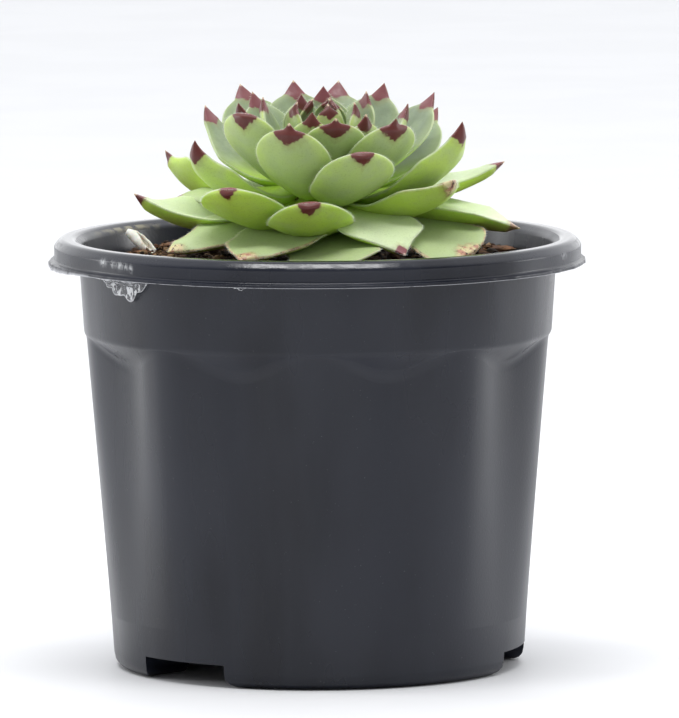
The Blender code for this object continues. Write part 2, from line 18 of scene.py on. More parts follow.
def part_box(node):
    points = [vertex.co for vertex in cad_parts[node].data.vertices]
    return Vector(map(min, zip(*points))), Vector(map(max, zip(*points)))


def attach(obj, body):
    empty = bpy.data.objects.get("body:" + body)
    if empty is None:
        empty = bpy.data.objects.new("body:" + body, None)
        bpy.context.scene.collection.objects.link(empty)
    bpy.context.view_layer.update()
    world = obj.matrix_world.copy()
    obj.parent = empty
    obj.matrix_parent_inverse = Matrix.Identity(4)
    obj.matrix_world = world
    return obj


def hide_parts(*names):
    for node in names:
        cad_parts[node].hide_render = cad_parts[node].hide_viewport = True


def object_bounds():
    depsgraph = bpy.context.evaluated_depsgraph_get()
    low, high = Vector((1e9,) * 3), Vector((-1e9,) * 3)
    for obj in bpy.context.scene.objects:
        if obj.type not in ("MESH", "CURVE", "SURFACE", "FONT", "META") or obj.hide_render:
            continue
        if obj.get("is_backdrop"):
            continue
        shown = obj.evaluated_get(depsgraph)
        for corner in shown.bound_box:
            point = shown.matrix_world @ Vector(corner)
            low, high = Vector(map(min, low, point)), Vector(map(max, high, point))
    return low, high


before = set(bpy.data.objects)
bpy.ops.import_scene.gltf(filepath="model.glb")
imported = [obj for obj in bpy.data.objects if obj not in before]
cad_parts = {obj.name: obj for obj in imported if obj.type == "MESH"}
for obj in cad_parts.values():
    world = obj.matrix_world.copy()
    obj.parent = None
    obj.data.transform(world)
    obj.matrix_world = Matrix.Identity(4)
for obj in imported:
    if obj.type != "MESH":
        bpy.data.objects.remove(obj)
cad_low, cad_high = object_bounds()
MM = 0.001
scene = bpy.context.scene
print("CAD nodes:", sorted(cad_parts))

# %% [markdown]
# ## The camera
#
# The photograph was taken from far away with a long lens, a little above the rim, so the ellipses
# of the rim and the base are nearly flat. The distance, height and tilt below come from those
# ellipses. The camera comes first, because every piece is judged through it.

# %% Place the camera
IMAGE_HEIGHT, FOCAL_PIXELS, SENSOR_WIDTH = 718, 10568.0, 36.0
CAMERA_DISTANCE, CAMERA_HEIGHT = 2.0, 0.2777
CAMERA_PITCH, CAMERA_YAW, CAMERA_ROLL = math.radians(6.26), math.radians(0.117), math.radians(-0.21)

camera_data = bpy.data.cameras.new("photo_camera")
camera_data.sensor_width = SENSOR_WIDTH
camera_data.lens = FOCAL_PIXELS * SENSOR_WIDTH / IMAGE_HEIGHT
camera_data.clip_end = 50.0
camera = bpy.data.objects.new("photo_camera", camera_data)
scene.collection.objects.link(camera)
camera.matrix_world = (
    Matrix.Translation((0.0, -CAMERA_DISTANCE, CAMERA_HEIGHT))
    @ Matrix.Rotation(-CAMERA_YAW, 4, "Z")
    @ Matrix.Rotation(math.radians(90.0) - CAMERA_PITCH, 4, "X")
    @ Matrix.Rotation(CAMERA_ROLL, 4, "Z")
)
scene.camera = camera
print(f"lens {camera_data.lens:.0f} mm at {CAMERA_DISTANCE} m")

# %% [markdown]
# ## Helpers for meshes
#
# Almost every piece here is a sheet of quads whose points come from a formula: rings round the
# pot, rows along a leaf, rings across the soil. So one helper numbers the quads, and one makes the
# object, joins doubled points, turns the faces outward and stores what the finish needs to know
# about each point, such as how far it is from the leaf's tip.

# %% Mesh helpers
def ease(part):
    """A smooth step from 0 to 1 while part goes from 0 to 1."""
    part = np.clip(part, 0.0, 1.0)
    return part * part * (3.0 - 2.0 * part)


def around(count):
    """Evenly spaced angles once round a circle."""
    return [math.tau * step / count for step in range(count)]


def grid_quads(rows, columns, start=0, wrap=True):
    """Corner numbers of the quads between rows of points."""
    quads = []
    for i in range(rows - 1):
        for j in range(columns if wrap else columns - 1):
            k = (j + 1) % columns
            near, far = start + i * columns, start + (i + 1) * columns
            quads.append((near + j, near + k, far + k, far + j))
    return quads


def end_caps(rows, columns, start=0):
    """One face over the first ring of points and one over the last."""
    last = start + (rows - 1) * columns
    return [tuple(range(start, start + columns)), tuple(range(last, last + columns))]


def face_outward(mesh, join=False):
    """Turn all faces outward, and join doubled points first if asked."""
    bm = bmesh.new()
    bm.from_mesh(mesh)
    if join:
        bmesh.ops.remove_doubles(bm, verts=bm.verts, dist=0.000001)
    bmesh.ops.recalc_face_normals(bm, faces=bm.faces)
    bm.to_mesh(mesh)
    bm.free()


def make_piece(name, points, faces, material, layers=None, smooth=True):
    """A mesh object in the frame, riding on the one body that the plant and its pot make."""
    mesh = bpy.data.meshes.new(name)
    mesh.from_pydata([tuple(point) for point in points], [], faces)
    for layer_name, values in (layers or {}).items():
        data = mesh.attributes.new(layer_name, "FLOAT", "POINT").data
        data.foreach_set("value", np.asarray(values, np.float32))
    face_outward(mesh, join=True)
    mesh.materials.append(material)
    if smooth:
        mesh.shade_smooth()
    piece = bpy.data.objects.new(name, mesh)
    scene.collection.objects.link(piece)
    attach(piece, "root")
    print(f"{name}: {len(mesh.polygons)} faces")
    return piece


def roughness_at(point, size, offset=0.0):
    """Smooth noise from -1 to 1 with bumps of about the given size."""
    return noise.noise(Vector(point) / size + Vector((offset, 0.0, 0.0)))


print("four points in a square make", len(grid_quads(2, 2, wrap=False)), "quad")

# %% [markdown]
# ## Helpers for finishes
#
# A finish is a net of nodes. Writing each node as one call, with its inputs as either values or
# links, keeps the net readable. Colours in a Mix node sit behind numbered sockets, so a small
# function hides the numbers.

# %% Node helpers
def add_node(tree, kind, inputs=None, **settings):
    """A new node with its settings, and with each input either linked or set."""
    made = tree.nodes.new(kind)
    for key, value in settings.items():
        setattr(made, key, value)
    for key, value in (inputs or {}).items():
        if isinstance(value, bpy.types.NodeSocket):
            tree.links.new(value, made.inputs[key])
        else:
            made.inputs[key].default_value = value
    return made


def mix_colour(tree, mask, first, second):
    """First where the mask is 0 and second where it is 1."""
    first, second = (
        colour if isinstance(colour, bpy.types.NodeSocket) else (*colour, 1.0)
        for colour in (first, second)
    )
    made = add_node(tree, "ShaderNodeMix", {0: mask, 6: first, 7: second}, data_type="RGBA")
    return made.outputs[2]


def coat(tree, colour, coats):
    """Lay each coat, a mask and the colour that shows where it is 1, over the last."""
    for mask, coat_colour in coats:
        colour = mix_colour(tree, mask, colour, coat_colour)
    return colour


def calculate(tree, operation, first, second, third=0.0):
    """The result of a Math node."""
    made = add_node(tree, "ShaderNodeMath", {0: first, 1: second, 2: third}, operation=operation)
    return made.outputs[0]


def times(tree, first, second):
    return calculate(tree, "MULTIPLY", first, second)


def step_between(tree, value, low, high, start=0.0, end=1.0):
    """Start below low, end above high and a smooth step between."""
    inputs = {"Value": value, "From Min": low, "From Max": high, "To Min": start, "To Max": end}
    made = add_node(tree, "ShaderNodeMapRange", inputs, interpolation_type="SMOOTHSTEP")
    return made.outputs["Result"]


def layer(tree, name):
    """A number stored on the mesh's points."""
    return add_node(tree, "ShaderNodeAttribute", attribute_name=name).outputs["Fac"]


def new_finish(name, roughness, specular):
    """A new node material, its tree and its Principled shader."""
    material = bpy.data.materials.new(name)
    material.use_nodes = True
    tree = material.node_tree
    shader = tree.nodes["Principled BSDF"]
    shader.inputs["Roughness"].default_value = roughness
    shader.inputs["Specular IOR Level"].default_value = specular
    return material, tree, shader


def paint(tree, shader, colour):
    tree.links.new(colour, shader.inputs["Base Color"])


print("helpers:", [helper.__name__ for helper in (add_node, mix_colour, coat, step_between)])

# %% [markdown]
# ## An effect that every finish shares
#
# Waxy leaves, moulded plastic, bark and soil all have soft patches in their colour and a grain in
# their surface. One node group makes both from noise: it takes the size of a patch in millimetres
# and how far the pattern is drawn out along each axis, and gives a raw height and a mask that runs
# from 0 to 1 between two levels. Each finish places it with its own values. Most of the small
# finishes need only two colours in such patches, so one function makes those.

# %% Build the patches group
patches_group = bpy.data.node_groups.new("patches", "ShaderNodeTree")
for socket_name, kind, start_value in (
    ("Size mm", "NodeSocketFloat", 5.0),
    ("Detail", "NodeSocketFloat", 3.0),
    ("Drawn Out", "NodeSocketVector", (1.0, 1.0, 1.0)),
    ("Low", "NodeSocketFloat", 0.4),
    ("High", "NodeSocketFloat", 0.6),
):
    made = patches_group.interface.new_socket(socket_name, in_out="INPUT", socket_type=kind)
    made.default_value = start_value
for socket_name in ("Mask", "Height"):
    patches_group.interface.new_socket(socket_name, in_out="OUTPUT", socket_type="NodeSocketFloat")

asked = patches_group.nodes.new("NodeGroupInput").outputs
given = patches_group.nodes.new("NodeGroupOutput").inputs
place = add_node(patches_group, "ShaderNodeTexCoord").outputs["Object"]
drawn = add_node(
    patches_group, "ShaderNodeVectorMath", {0: place, 1: asked["Drawn Out"]}, operation="DIVIDE"
).outputs[0]
scale = calculate(patches_group, "DIVIDE", 1000.0, asked["Size mm"])
pattern = add_node(
    patches_group, "ShaderNodeTexNoise", {"Vector": drawn, "Scale": scale, "Detail": asked["Detail"]}
).outputs["Fac"]
mask = step_between(patches_group, pattern, asked["Low"], asked["High"])
patches_group.links.new(mask, given["Mask"])
patches_group.links.new(pattern, given["Height"])


def patches(tree, size, detail=3.0, drawn_out=(1.0, 1.0, 1.0), low=0.4, high=0.6):
    """Place the patches group in a finish."""
    made = tree.nodes.new("ShaderNodeGroup")
    made.node_tree = patches_group
    for socket, value in zip(made.inputs, (size, detail, drawn_out, low, high)):
        socket.default_value = value
    return made


def patch_mask(tree, *placing, **levels):
    return patches(tree, *placing, **levels).outputs["Mask"]


def grain(tree, shader, height, depth_mm):
    """Raise the surface by the height, through a Bump node."""
    bump = add_node(tree, "ShaderNodeBump", {"Height": height, "Distance": depth_mm * MM})
    tree.links.new(bump.outputs["Normal"], shader.inputs["Normal"])


FLECK_SHARE = 0.6


def two_tone(name, roughness, specular, first, second, pattern, depth_mm=0.0, flecks=None):
    """A finish in two colours, perhaps with flecks of a third and with a grain."""
    finish, tree, shader = new_finish(name, roughness, specular)
    made = patches(tree, **pattern)
    colour = mix_colour(tree, made.outputs["Mask"], first, second)
    if flecks:
        fleck_colour, fleck_pattern = flecks
        mask = times(tree, patch_mask(tree, **fleck_pattern), FLECK_SHARE)
        colour = mix_colour(tree, mask, colour, fleck_colour)
    paint(tree, shader, colour)
    if depth_mm:
        grain(tree, shader, made.outputs["Height"], depth_mm)
    return finish, shader


print("group:", patches_group.name)

# %% [markdown]
# ## The pot's plastic
#
# The pot is charcoal black, a little blue, and satin. Its colour is uneven in tall soft streaks
# from the moulding. The lip has a pale line of flash, the collar is scuffed at the left, fine dust
# lies on it, and watering has left a khaki stain inside. The rim is rubbed smoother by hands, so it
# shines more. Where those marks are comes from the mesh, as numbers on its points, and their broken
# edges come from the patches.

# %% Make the plastic
plastic, tree, shader = new_finish("black_plastic", 0.34, 0.40)
streaks = patch_mask(tree, 9.0, 4.0, (1.0, 1.0, 9.0), 0.35, 0.7)
blotches = patch_mask(tree, 26.0, 2.0, (1.0, 1.0, 2.0), 0.35, 0.65)
dust = times(tree, patch_mask(tree, 0.45, 2.0, low=0.73, high=0.77), 0.28)
scuffs = times(tree, patch_mask(tree, 0.5, 4.0, (0.8, 0.8, 1.4), 0.38, 0.5), layer(tree, "scuff"))
flash = times(tree, patch_mask(tree, 2.4, 3.0, low=0.22, high=0.45), layer(tree, "lip"))
stain = times(tree, patch_mask(tree, 2.2, 4.0, low=0.38, high=0.62), layer(tree, "stain"))
paint(tree, shader, coat(tree, (0.0015, 0.0026, 0.0085), (
    (streaks, (0.0085, 0.0108, 0.0190)),
    (blotches, (0.0125, 0.0150, 0.0250)),
    (dust, (0.20, 0.20, 0.21)),
    (scuffs, (0.62, 0.63, 0.64)),
    (flash, (0.46, 0.465, 0.49)),
    (stain, (0.21, 0.19, 0.13)),
)))
unevenness = patches(tree, 14.0, 3.0, (1.0, 1.0, 4.0)).outputs["Height"]
sheen = step_between(tree, unevenness, 0.3, 0.7, 0.24, 0.38)
sheen = calculate(tree, "ADD", sheen, times(tree, scuffs, 0.25))
rubbed = patch_mask(tree, 1.6, 4.0, (1.5, 1.5, 0.5), low=0.4, high=0.6)
rubbed = calculate(tree, "MULTIPLY_ADD", rubbed, 0.8, 0.2)
polish = times(tree, times(tree, layer(tree, "polish"), rubbed), 0.19)
sheen = calculate(tree, "MAXIMUM", calculate(tree, "SUBTRACT", sheen, polish), 0.10)
tree.links.new(sheen, shader.inputs["Roughness"])
grain(tree, shader, patches(tree, 0.5, 3.0).outputs["Height"], 0.02)
print("finish:", plastic.name)

# %% [markdown]
# ## The pot
#
# The pot is one thin shell. Going round it, the wall dips into nine shallow flutes that deepen
# upward and end in a sloping shoulder, so the shoulder's lower edge makes a row of arches. A Screw
# modifier would turn a plain profile, but here the profile changes with the azimuth. So each
# azimuth gets its own column of points with rounded corners, and the columns are joined round.
# The column runs up the inside, over a rolled rim with a small chamfer, round a thin ragged lip
# and down the outside to the feet. An azimuth is 0 at the front and grows to the right.

# %% The pot's sizes
WALL = 1.2 * MM
BAND_TOP_RADIUS, BAND_TOP = 45.3 * MM, 76.6 * MM
BAND_BOTTOM_RADIUS, BAND_BOTTOM = 44.5 * MM, 63.8 * MM
BODY_FOOT_RADIUS, BODY_FOOT, BODY_DRAFT = 39.05 * MM, 3.0 * MM, 0.087
BODY_MIDDLE = 34.0 * MM
SHOULDER_SLOPE, SHOULDER_OFFSET = 0.85, 0.44 * MM
FLUTE_COUNT, FLUTE_AZIMUTH = 9, math.radians(19.0)
FLUTE_FOOT, FLUTE_GROWTH, FLUTE_SHARPNESS = 8.0 * MM, 0.064, 1.15
FLOOR_UNDERSIDE, FOOT_INNER_RADIUS = 4.0 * MM, 28.0 * MM
LIP_RADIUS, LIP_TOP, LIP_BOTTOM = 51.0 * MM, 77.5 * MM, 76.95 * MM
RIM_TOP, RIM_INNER_RADIUS, COLLAR_RADIUS = 81.8 * MM, 45.6 * MM, 50.1 * MM
BURR_AZIMUTH, BURR_SPREAD = -77.0, 12.0
POT_COLUMNS = 480


def body_radius(height):
    return BODY_FOOT_RADIUS + BODY_DRAFT * (height - BODY_FOOT)


def groove(azimuth):
    """1 in the middle of a flute and 0 on the ridge between two."""
    wave = 0.5 + 0.5 * math.cos(FLUTE_COUNT * (azimuth - FLUTE_AZIMUTH))
    return wave**FLUTE_SHARPNESS


def wall_radius(height, azimuth):
    depth = FLUTE_GROWTH * max(0.0, height - FLUTE_FOOT)
    return body_radius(height) - depth * groove(azimuth)


def arch_height(azimuth):
    """Where the sloping shoulder meets the fluted wall, lower in each flute."""
    flute = FLUTE_GROWTH * groove(azimuth)
    level = body_radius(0.0) - BAND_BOTTOM_RADIUS + SHOULDER_SLOPE * BAND_BOTTOM
    return (level + flute * FLUTE_FOOT) / (SHOULDER_SLOPE - BODY_DRAFT + flute)


print(f"arches from {arch_height(FLUTE_AZIMUTH) / MM:.1f} mm up to "
      f"{arch_height(FLUTE_AZIMUTH + math.pi / FLUTE_COUNT) / MM:.1f} mm")

# %% The profile at one azimuth
CORNER_STEPS = 4
FLAT_START = 1.12


def degrees_from(centre, azimuth):
    """How far round an azimuth lies from a centre, from -180 to 180 degrees."""
    return (azimuth - centre + 180.0) % 360.0 - 180.0


def rounded(corners):
    """Points along the corners, each corner being (radius, height, how far it is rounded)."""
    line = []
    for i, (radius, height, cut) in enumerate(corners):
        corner = Vector((radius, height))
        if cut == 0.0:
            line.append(corner)
            continue
        before = Vector(corners[i - 1][:2]) - corner
        after = Vector(corners[i + 1][:2]) - corner
        start = corner + before * min(0.45, cut / before.length)
        end = corner + after * min(0.45, cut / after.length)
        line.append(corner + (start - corner) * FLAT_START)
        for step in range(CORNER_STEPS + 1):
            t = step / CORNER_STEPS
            line.append(start * (1 - t) ** 2 + corner * 2 * t * (1 - t) + end * t * t)
        line.append(corner + (end - corner) * FLAT_START)
    return line


def ragged_lip(azimuth):
    """The lip's outer edge and underside, with flash from the mould and a burr at the left."""
    spot = (math.sin(azimuth) * 6.0, math.cos(azimuth) * 6.0, 0.0)
    fine = roughness_at(spot, 0.35) + 0.6 * roughness_at(spot, 0.12, 7.0)
    fine = max(-1.0, min(1.0, fine))
    from_burr = degrees_from(BURR_AZIMUTH, math.degrees(azimuth)) / BURR_SPREAD
    burr = math.exp(-(from_burr**2)) * (0.75 + 0.35 * fine)
    edge = LIP_RADIUS - 0.12 * MM + 0.22 * MM * fine + 0.55 * MM * burr
    return edge, LIP_BOTTOM - 0.75 * MM * burr


def pot_corners(azimuth):
    arch = arch_height(azimuth)
    lip, lip_low = ragged_lip(azimuth)
    floor_top = FLOOR_UNDERSIDE + WALL
    inside = [
        (0.0, floor_top, 0.0),
        (body_radius(floor_top) - WALL - 1.2 * MM, floor_top, 1.0 * MM),
        (wall_radius(BODY_MIDDLE, azimuth) - WALL, BODY_MIDDLE, 0.0),
        (wall_radius(arch, azimuth) - WALL, arch + SHOULDER_OFFSET, 0.8 * MM),
        (BAND_BOTTOM_RADIUS - WALL, BAND_BOTTOM + SHOULDER_OFFSET, 0.8 * MM),
        (BAND_TOP_RADIUS - WALL, BAND_TOP, 1.4 * MM),
        (RIM_INNER_RADIUS - 0.8 * MM, RIM_TOP - 1.2 * MM, 0.5 * MM),
    ]
    rim = [
        (RIM_INNER_RADIUS, RIM_TOP - 0.6 * MM, 0.4 * MM),
        (RIM_INNER_RADIUS + 0.9 * MM, RIM_TOP, 0.6 * MM),
        (COLLAR_RADIUS - 1.3 * MM, RIM_TOP, 0.6 * MM),
        (COLLAR_RADIUS + 0.02 * MM, RIM_TOP - 1.45 * MM, 0.7 * MM),
        (COLLAR_RADIUS, RIM_TOP - 2.0 * MM, 0.0),
        (COLLAR_RADIUS, RIM_TOP - 2.4 * MM, 0.0),
        (COLLAR_RADIUS, RIM_TOP - 2.9 * MM, 0.0),
        (COLLAR_RADIUS, LIP_TOP + 0.35 * MM, 0.3 * MM),
        (lip, LIP_TOP, 0.12 * MM),
        (lip, lip_low, 0.12 * MM),
        (COLLAR_RADIUS - WALL, LIP_BOTTOM + 0.15 * MM, 0.2 * MM),
        (COLLAR_RADIUS - WALL - 0.2 * MM, RIM_TOP - 1.5 * MM, 0.4 * MM),
        (RIM_INNER_RADIUS + WALL, RIM_TOP - 1.5 * MM, 0.4 * MM),
        (BAND_TOP_RADIUS, BAND_TOP, 0.6 * MM),
    ]
    outside = [
        (BAND_BOTTOM_RADIUS, BAND_BOTTOM, 0.55 * MM),
        (wall_radius(arch, azimuth), arch, 1.5 * MM),
        (wall_radius(BODY_MIDDLE, azimuth), BODY_MIDDLE, 0.0),
        (wall_radius(FLUTE_FOOT, azimuth), FLUTE_FOOT, 2.0 * MM),
        (BODY_FOOT_RADIUS - 0.1 * MM, 0.0, 2.6 * MM),
        (FOOT_INNER_RADIUS, 0.0, 0.3 * MM),
        (FOOT_INNER_RADIUS - 0.6 * MM, FLOOR_UNDERSIDE, 0.3 * MM),
        (0.0, FLOOR_UNDERSIDE, 0.0),
    ]
    return inside + rim + outside


print("points in one column:", len(rounded(pot_corners(0.0))))

# %% [markdown]
# The base stands on three broad feet. Each drainage channel between them is cut with a Boolean: a
# bar whose lower corners flare out, so that the feet's corners come out rounded. A drain hole goes
# through the raised floor inside each channel.

# %% Cut the channels and drain holes
CHANNEL_AZIMUTHS = [math.radians(a) for a in (-42.0, 78.0, 198.0)]
CHANNEL_HALF_WIDTH, CHANNEL_HEIGHT, FOOT_FILLET = 10.0 * MM, 4.3 * MM, 2.2 * MM
CHANNEL_START, CHANNEL_END, ARC_STEPS = 19.05 * MM, 43.05 * MM, 8
DRAIN_RADIUS, DRAIN_CENTRE, DRAIN_SIDES = 3.5 * MM, 31.5 * MM, 32
DRAIN_LOW, DRAIN_HIGH = 1.0 * MM, 7.0 * MM
UP = Vector((0.0, 0.0, 1.0))


def outward_at(azimuth):
    return Vector((math.sin(azimuth), -math.cos(azimuth), 0.0))


def sideways_at(azimuth):
    return Vector((math.cos(azimuth), math.sin(azimuth), 0.0))


def bar_between(start, end, outline, across, onward):
    """Points and faces of a straight bar, with its outline laid along two directions."""
    points = [spot + across * x + onward * y for spot in (start, end) for x, y in outline]
    return points, grid_quads(2, len(outline)) + end_caps(2, len(outline))


def channel_outline():
    arc = []
    for step in range(ARC_STEPS + 1):
        angle = math.radians(90.0 * step / ARC_STEPS)
        across = CHANNEL_HALF_WIDTH + FOOT_FILLET * (1.0 - math.cos(angle))
        arc.append((across, FOOT_FILLET * (1.0 - math.sin(angle))))
    right = [(CHANNEL_HALF_WIDTH, CHANNEL_HEIGHT)] + arc
    right.append((CHANNEL_HALF_WIDTH + FOOT_FILLET, -1.0 * MM))
    return right + [(-x, z) for x, z in reversed(right)]


def subtract(piece, bars):
    """Cut the bars, each as (points, faces), out of the piece."""
    mesh = bpy.data.meshes.new("cutter")
    points, faces = [], []
    for bar_points, bar_faces in bars:
        faces += [tuple(len(points) + i for i in face) for face in bar_faces]
        points += bar_points
    mesh.from_pydata(points, [], faces)
    face_outward(mesh)
    cutter = bpy.data.objects.new("cutter", mesh)
    scene.collection.objects.link(cutter)
    boolean = piece.modifiers.new("cut", "BOOLEAN")
    boolean.operation, boolean.solver, boolean.object = "DIFFERENCE", "EXACT", cutter
    graph = bpy.context.evaluated_depsgraph_get()
    cut_mesh = bpy.data.meshes.new_from_object(piece.evaluated_get(graph))
    piece.modifiers.clear()
    old, piece.data = piece.data, cut_mesh
    bpy.data.meshes.remove(old)
    bpy.data.objects.remove(cutter, do_unlink=True)


circle = [(DRAIN_RADIUS * math.cos(turn), DRAIN_RADIUS * math.sin(turn)) for turn in around(DRAIN_SIDES)]
channels, drains = [], []
for azimuth in CHANNEL_AZIMUTHS:
    out, side = outward_at(azimuth), sideways_at(azimuth)
    foot = out * DRAIN_CENTRE
    channels.append(
        bar_between(out * CHANNEL_START, out * CHANNEL_END, channel_outline(), side, UP)
    )
    drains.append(bar_between(foot + UP * DRAIN_LOW, foot + UP * DRAIN_HIGH, circle, side, out))
print("points in one channel's bar:", len(channels[0][0]))

# %% Make the pot
SHARP_ANGLE = math.radians(40.0)
WARP, WARP_SIZE, WARP_START = 0.05 * MM, 16.0 * MM, 20.0 * MM
pot_points, pot_faces = [], []
for azimuth in around(POT_COLUMNS):
    flat = outward_at(azimuth)
    for radius, height in rounded(pot_corners(azimuth)):
        point = flat * radius + UP * height
        warp = WARP * roughness_at(point, WARP_SIZE) if radius > WARP_START else 0.0
        pot_points.append(point + flat * min(0.0, warp))
row_length = len(pot_points) // POT_COLUMNS
for column in range(POT_COLUMNS):
    here, there = column * row_length, ((column + 1) % POT_COLUMNS) * row_length
    for i in range(row_length - 1):
        pot_faces.append((here + i, there + i, there + i + 1, here + i + 1))
pot_shell = make_piece("pot_shell", pot_points, pot_faces, plastic)
subtract(pot_shell, channels)
subtract(pot_shell, drains)
pot_shell.data.shade_smooth()
pot_shell.data.set_sharp_from_angle(angle=SHARP_ANGLE)
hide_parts("pot")
print("pot faces after cutting:", len(pot_shell.data.polygons))

# %% [markdown]
# The finish asked for four numbers on the pot's points: how much of the pale flash line a point
# has, how scuffed it is, how stained and how polished. They depend only on where the point is, so
# they are worked out after the cuts.

# %% Mark the lip, the scuffs and the stain
# Each scuff is its azimuth and spread in degrees, its height in millimetres and its strength
SCUFFS = [(-53.4, 0.9, 79.9, 1.0), (-50.0, 0.6, 79.8, 0.8), (-47.7, 0.8, 79.7, 1.0)]
SCUFFS += [(-45.9, 0.5, 79.6, 0.8), (-44.3, 0.5, 79.4, 0.8), (68.0, 1.5, 79.8, 0.4)]
SCUFF_TALL, SCUFF_INNER_RADIUS = 0.5, 48.0 * MM
STAIN_AZIMUTH, STAIN_HEIGHT, STAIN_WIDE, STAIN_TALL = -126.0, 81.0, 14.0, 0.6
INSIDE_RADIUS, INSIDE_LOW = 45.7 * MM, 73.0 * MM
FLASH_RADIUS, FLASH_LOW, FLASH_HIGH = 50.60 * MM, LIP_BOTTOM - 0.9 * MM, LIP_BOTTOM + 0.1 * MM
CHAMFER_RADIUS, CHAMFER_LOW, TOP_LOW = 48.6 * MM, RIM_TOP - 1.5 * MM, RIM_TOP - 0.35 * MM
TOP_POLISH = 6.0


def hill(distance, spread, height, centre, tall):
    """1 at a centre on the wall, falling off round it and up and down."""
    return math.exp(-((distance / spread) ** 2) - ((height / MM - centre) / tall) ** 2)


def mark_pot(mesh):
    marks = {"lip": [], "scuff": [], "stain": [], "polish": []}
    for vertex in mesh.vertices:
        x, y, z = vertex.co
        radius, azimuth = math.hypot(x, y), math.degrees(math.atan2(x, -y))
        scuff = 0.0
        if radius > SCUFF_INNER_RADIUS and z > LIP_TOP:
            for centre, spread, height, amount in SCUFFS:
                scuff = max(scuff, amount * hill(azimuth - centre, spread, z, height, SCUFF_TALL))
        inside = radius < INSIDE_RADIUS and z > INSIDE_LOW
        from_stain = degrees_from(STAIN_AZIMUTH, azimuth)
        stain = hill(from_stain, STAIN_WIDE, z, STAIN_HEIGHT, STAIN_TALL)
        on_lip = radius > FLASH_RADIUS and FLASH_LOW < z < FLASH_HIGH
        on_chamfer = z > CHAMFER_LOW and radius > CHAMFER_RADIUS
        marks["lip"].append(1.0 if on_lip else 0.0)
        marks["scuff"].append(scuff)
        marks["polish"].append(TOP_POLISH if z > TOP_LOW else 1.0 if on_chamfer else 0.0)
        marks["stain"].append(stain if inside else 0.0)
    for name, values in marks.items():
        mesh.attributes.new(name, "FLOAT", "POINT").data.foreach_set("value", values)
    return list(marks)


print("marked:", mark_pot(pot_shell.data))

# %% [markdown]
# ## The leaves' rule
#
# A houseleek makes each new leaf 137.5 degrees round from the last one, the golden angle. Young
# leaves stand close and upright in the middle, older ones are pushed out and lie down, and the
# oldest droop. So a leaf is known by its age alone: the age gives its azimuth, reach, height,
# width and curl. Leaves that soil, light and neighbours have pushed aside get a correction. The
# CAD model uses the same rule and seed, so the fine leaves lie in or close to the plain ones.

# %% Where each leaf goes
SEAT = Vector((0.2 * MM, 0.0, 77.0 * MM))
LEAN = Euler((math.radians(8.4), math.radians(1.5), 0.0)).to_matrix()
GOLDEN_ANGLE, FIRST_AZIMUTH = math.radians(137.508), math.radians(8.5)
YOUNGEST, OLDEST = -15, 34
LOST_LEAVES = {15, 32}
REACH, REACH_AGES, REACH_CURVE = 40.0 * MM, 23.5, 1.45
CROWN_HEIGHT, SKIRT_HEIGHT = 31.4 * MM, 8.2 * MM
SINKING_AGE, SINKING_AGES = 17.5, 4.5
ROOT_LOW, ROOT_HIGH, ROOT_DEPTH, ROOT_CURVE = 9.0 * MM, 21.4 * MM, 0.72, 1.2
CORE_RADIUS, CORE_WAIST, CORE_TOP, CORE_BOTTOM = 8.0 * MM, 8.0 * MM, 25.0 * MM, -1.0 * MM
YOUNG_CURL, OLD_CURL = 29.0, -14.0
DROOP_START, DROOP_END = 20, 28
TURN_PLAY, ROLL_PLAY, LIFT_PLAY = 2.5, 5.0, 0.4
LEAF_SEED = 11

# Turn in degrees, reach and lift in millimetres, roll and extra curl in degrees
PUSHED = {
    -8: (0, -1, 0, 0, 0), -7: (0, 0, 1.2, 0, 0), -3: (-20, 3, 1.2, 8, 0),
    -1: (0, 0, -1, 0, 0), 0: (0, 0, 1.6, 0, 0), 1: (-5, 0, 1, 0, 0),
    2: (33, 0, 1.4, 8, 6), 3: (-24, 0, 2.1, -6, 4), 4: (-5, 0, 0, 0, 0),
    5: (11, 0, 2, 0, 14), 6: (6, 0, 1, 0, 0), 7: (-9, 0, -2.6, 8, 16),
    8: (-10, 0, -1.4, 0, 6), 9: (9, 0, 1, 0, 0), 10: (-12, -2.4, -2.2, 22, 34),
    11: (-14, 0, 3.4, -12, 22), 12: (-8, 0, 2, 0, 0), 13: (1.5, 2, -6.2, 10, 22),
    14: (0, 0, 1, 0, 0), 16: (5, -0.6, -0.2, -8, 4), 18: (4, 0, 1.4, 14, 10),
    19: (0, 2.2, 0.4, -8, -12), 20: (0, 0, 0.6, 52, 18), 21: (9, 0.5, -5.9, -4, -36),
    22: (0, 0, -7, 0, -20), 23: (-2, 1.5, 1.4, -6, 18), 24: (9, 3, -3, -12, -12),
    25: (0, 0, -8.5, 0, -22), 26: (0, 0, -3.4, 8, 6), 27: (0, -5, -3, 0, 0),
    28: (0, -8, 0, 0, 0), 29: (17, -1.8, -2.9, 6, 6), 30: (0, -1, -10, 0, -8),
    31: (10, 0, -1.8, -3, 10), 33: (0, -6, -6.5, 0, -6), 34: (0, 0, -1.2, 8, 16),
}


def core_radius(height):
    reach = CORE_TOP - CORE_WAIST if height > CORE_WAIST else CORE_WAIST - CORE_BOTTOM
    part = min(1.0, abs(height - CORE_WAIST) / reach)
    return CORE_RADIUS * math.sqrt(max(0.0, 1.0 - part * part))


def cubic(a, b, c, d, t):
    """A place on the cubic curve that leaves a towards b and comes to d from c."""
    s = 1.0 - t
    return a * s**3 + b * 3 * s * s * t + c * 3 * s * t * t + d * t**3


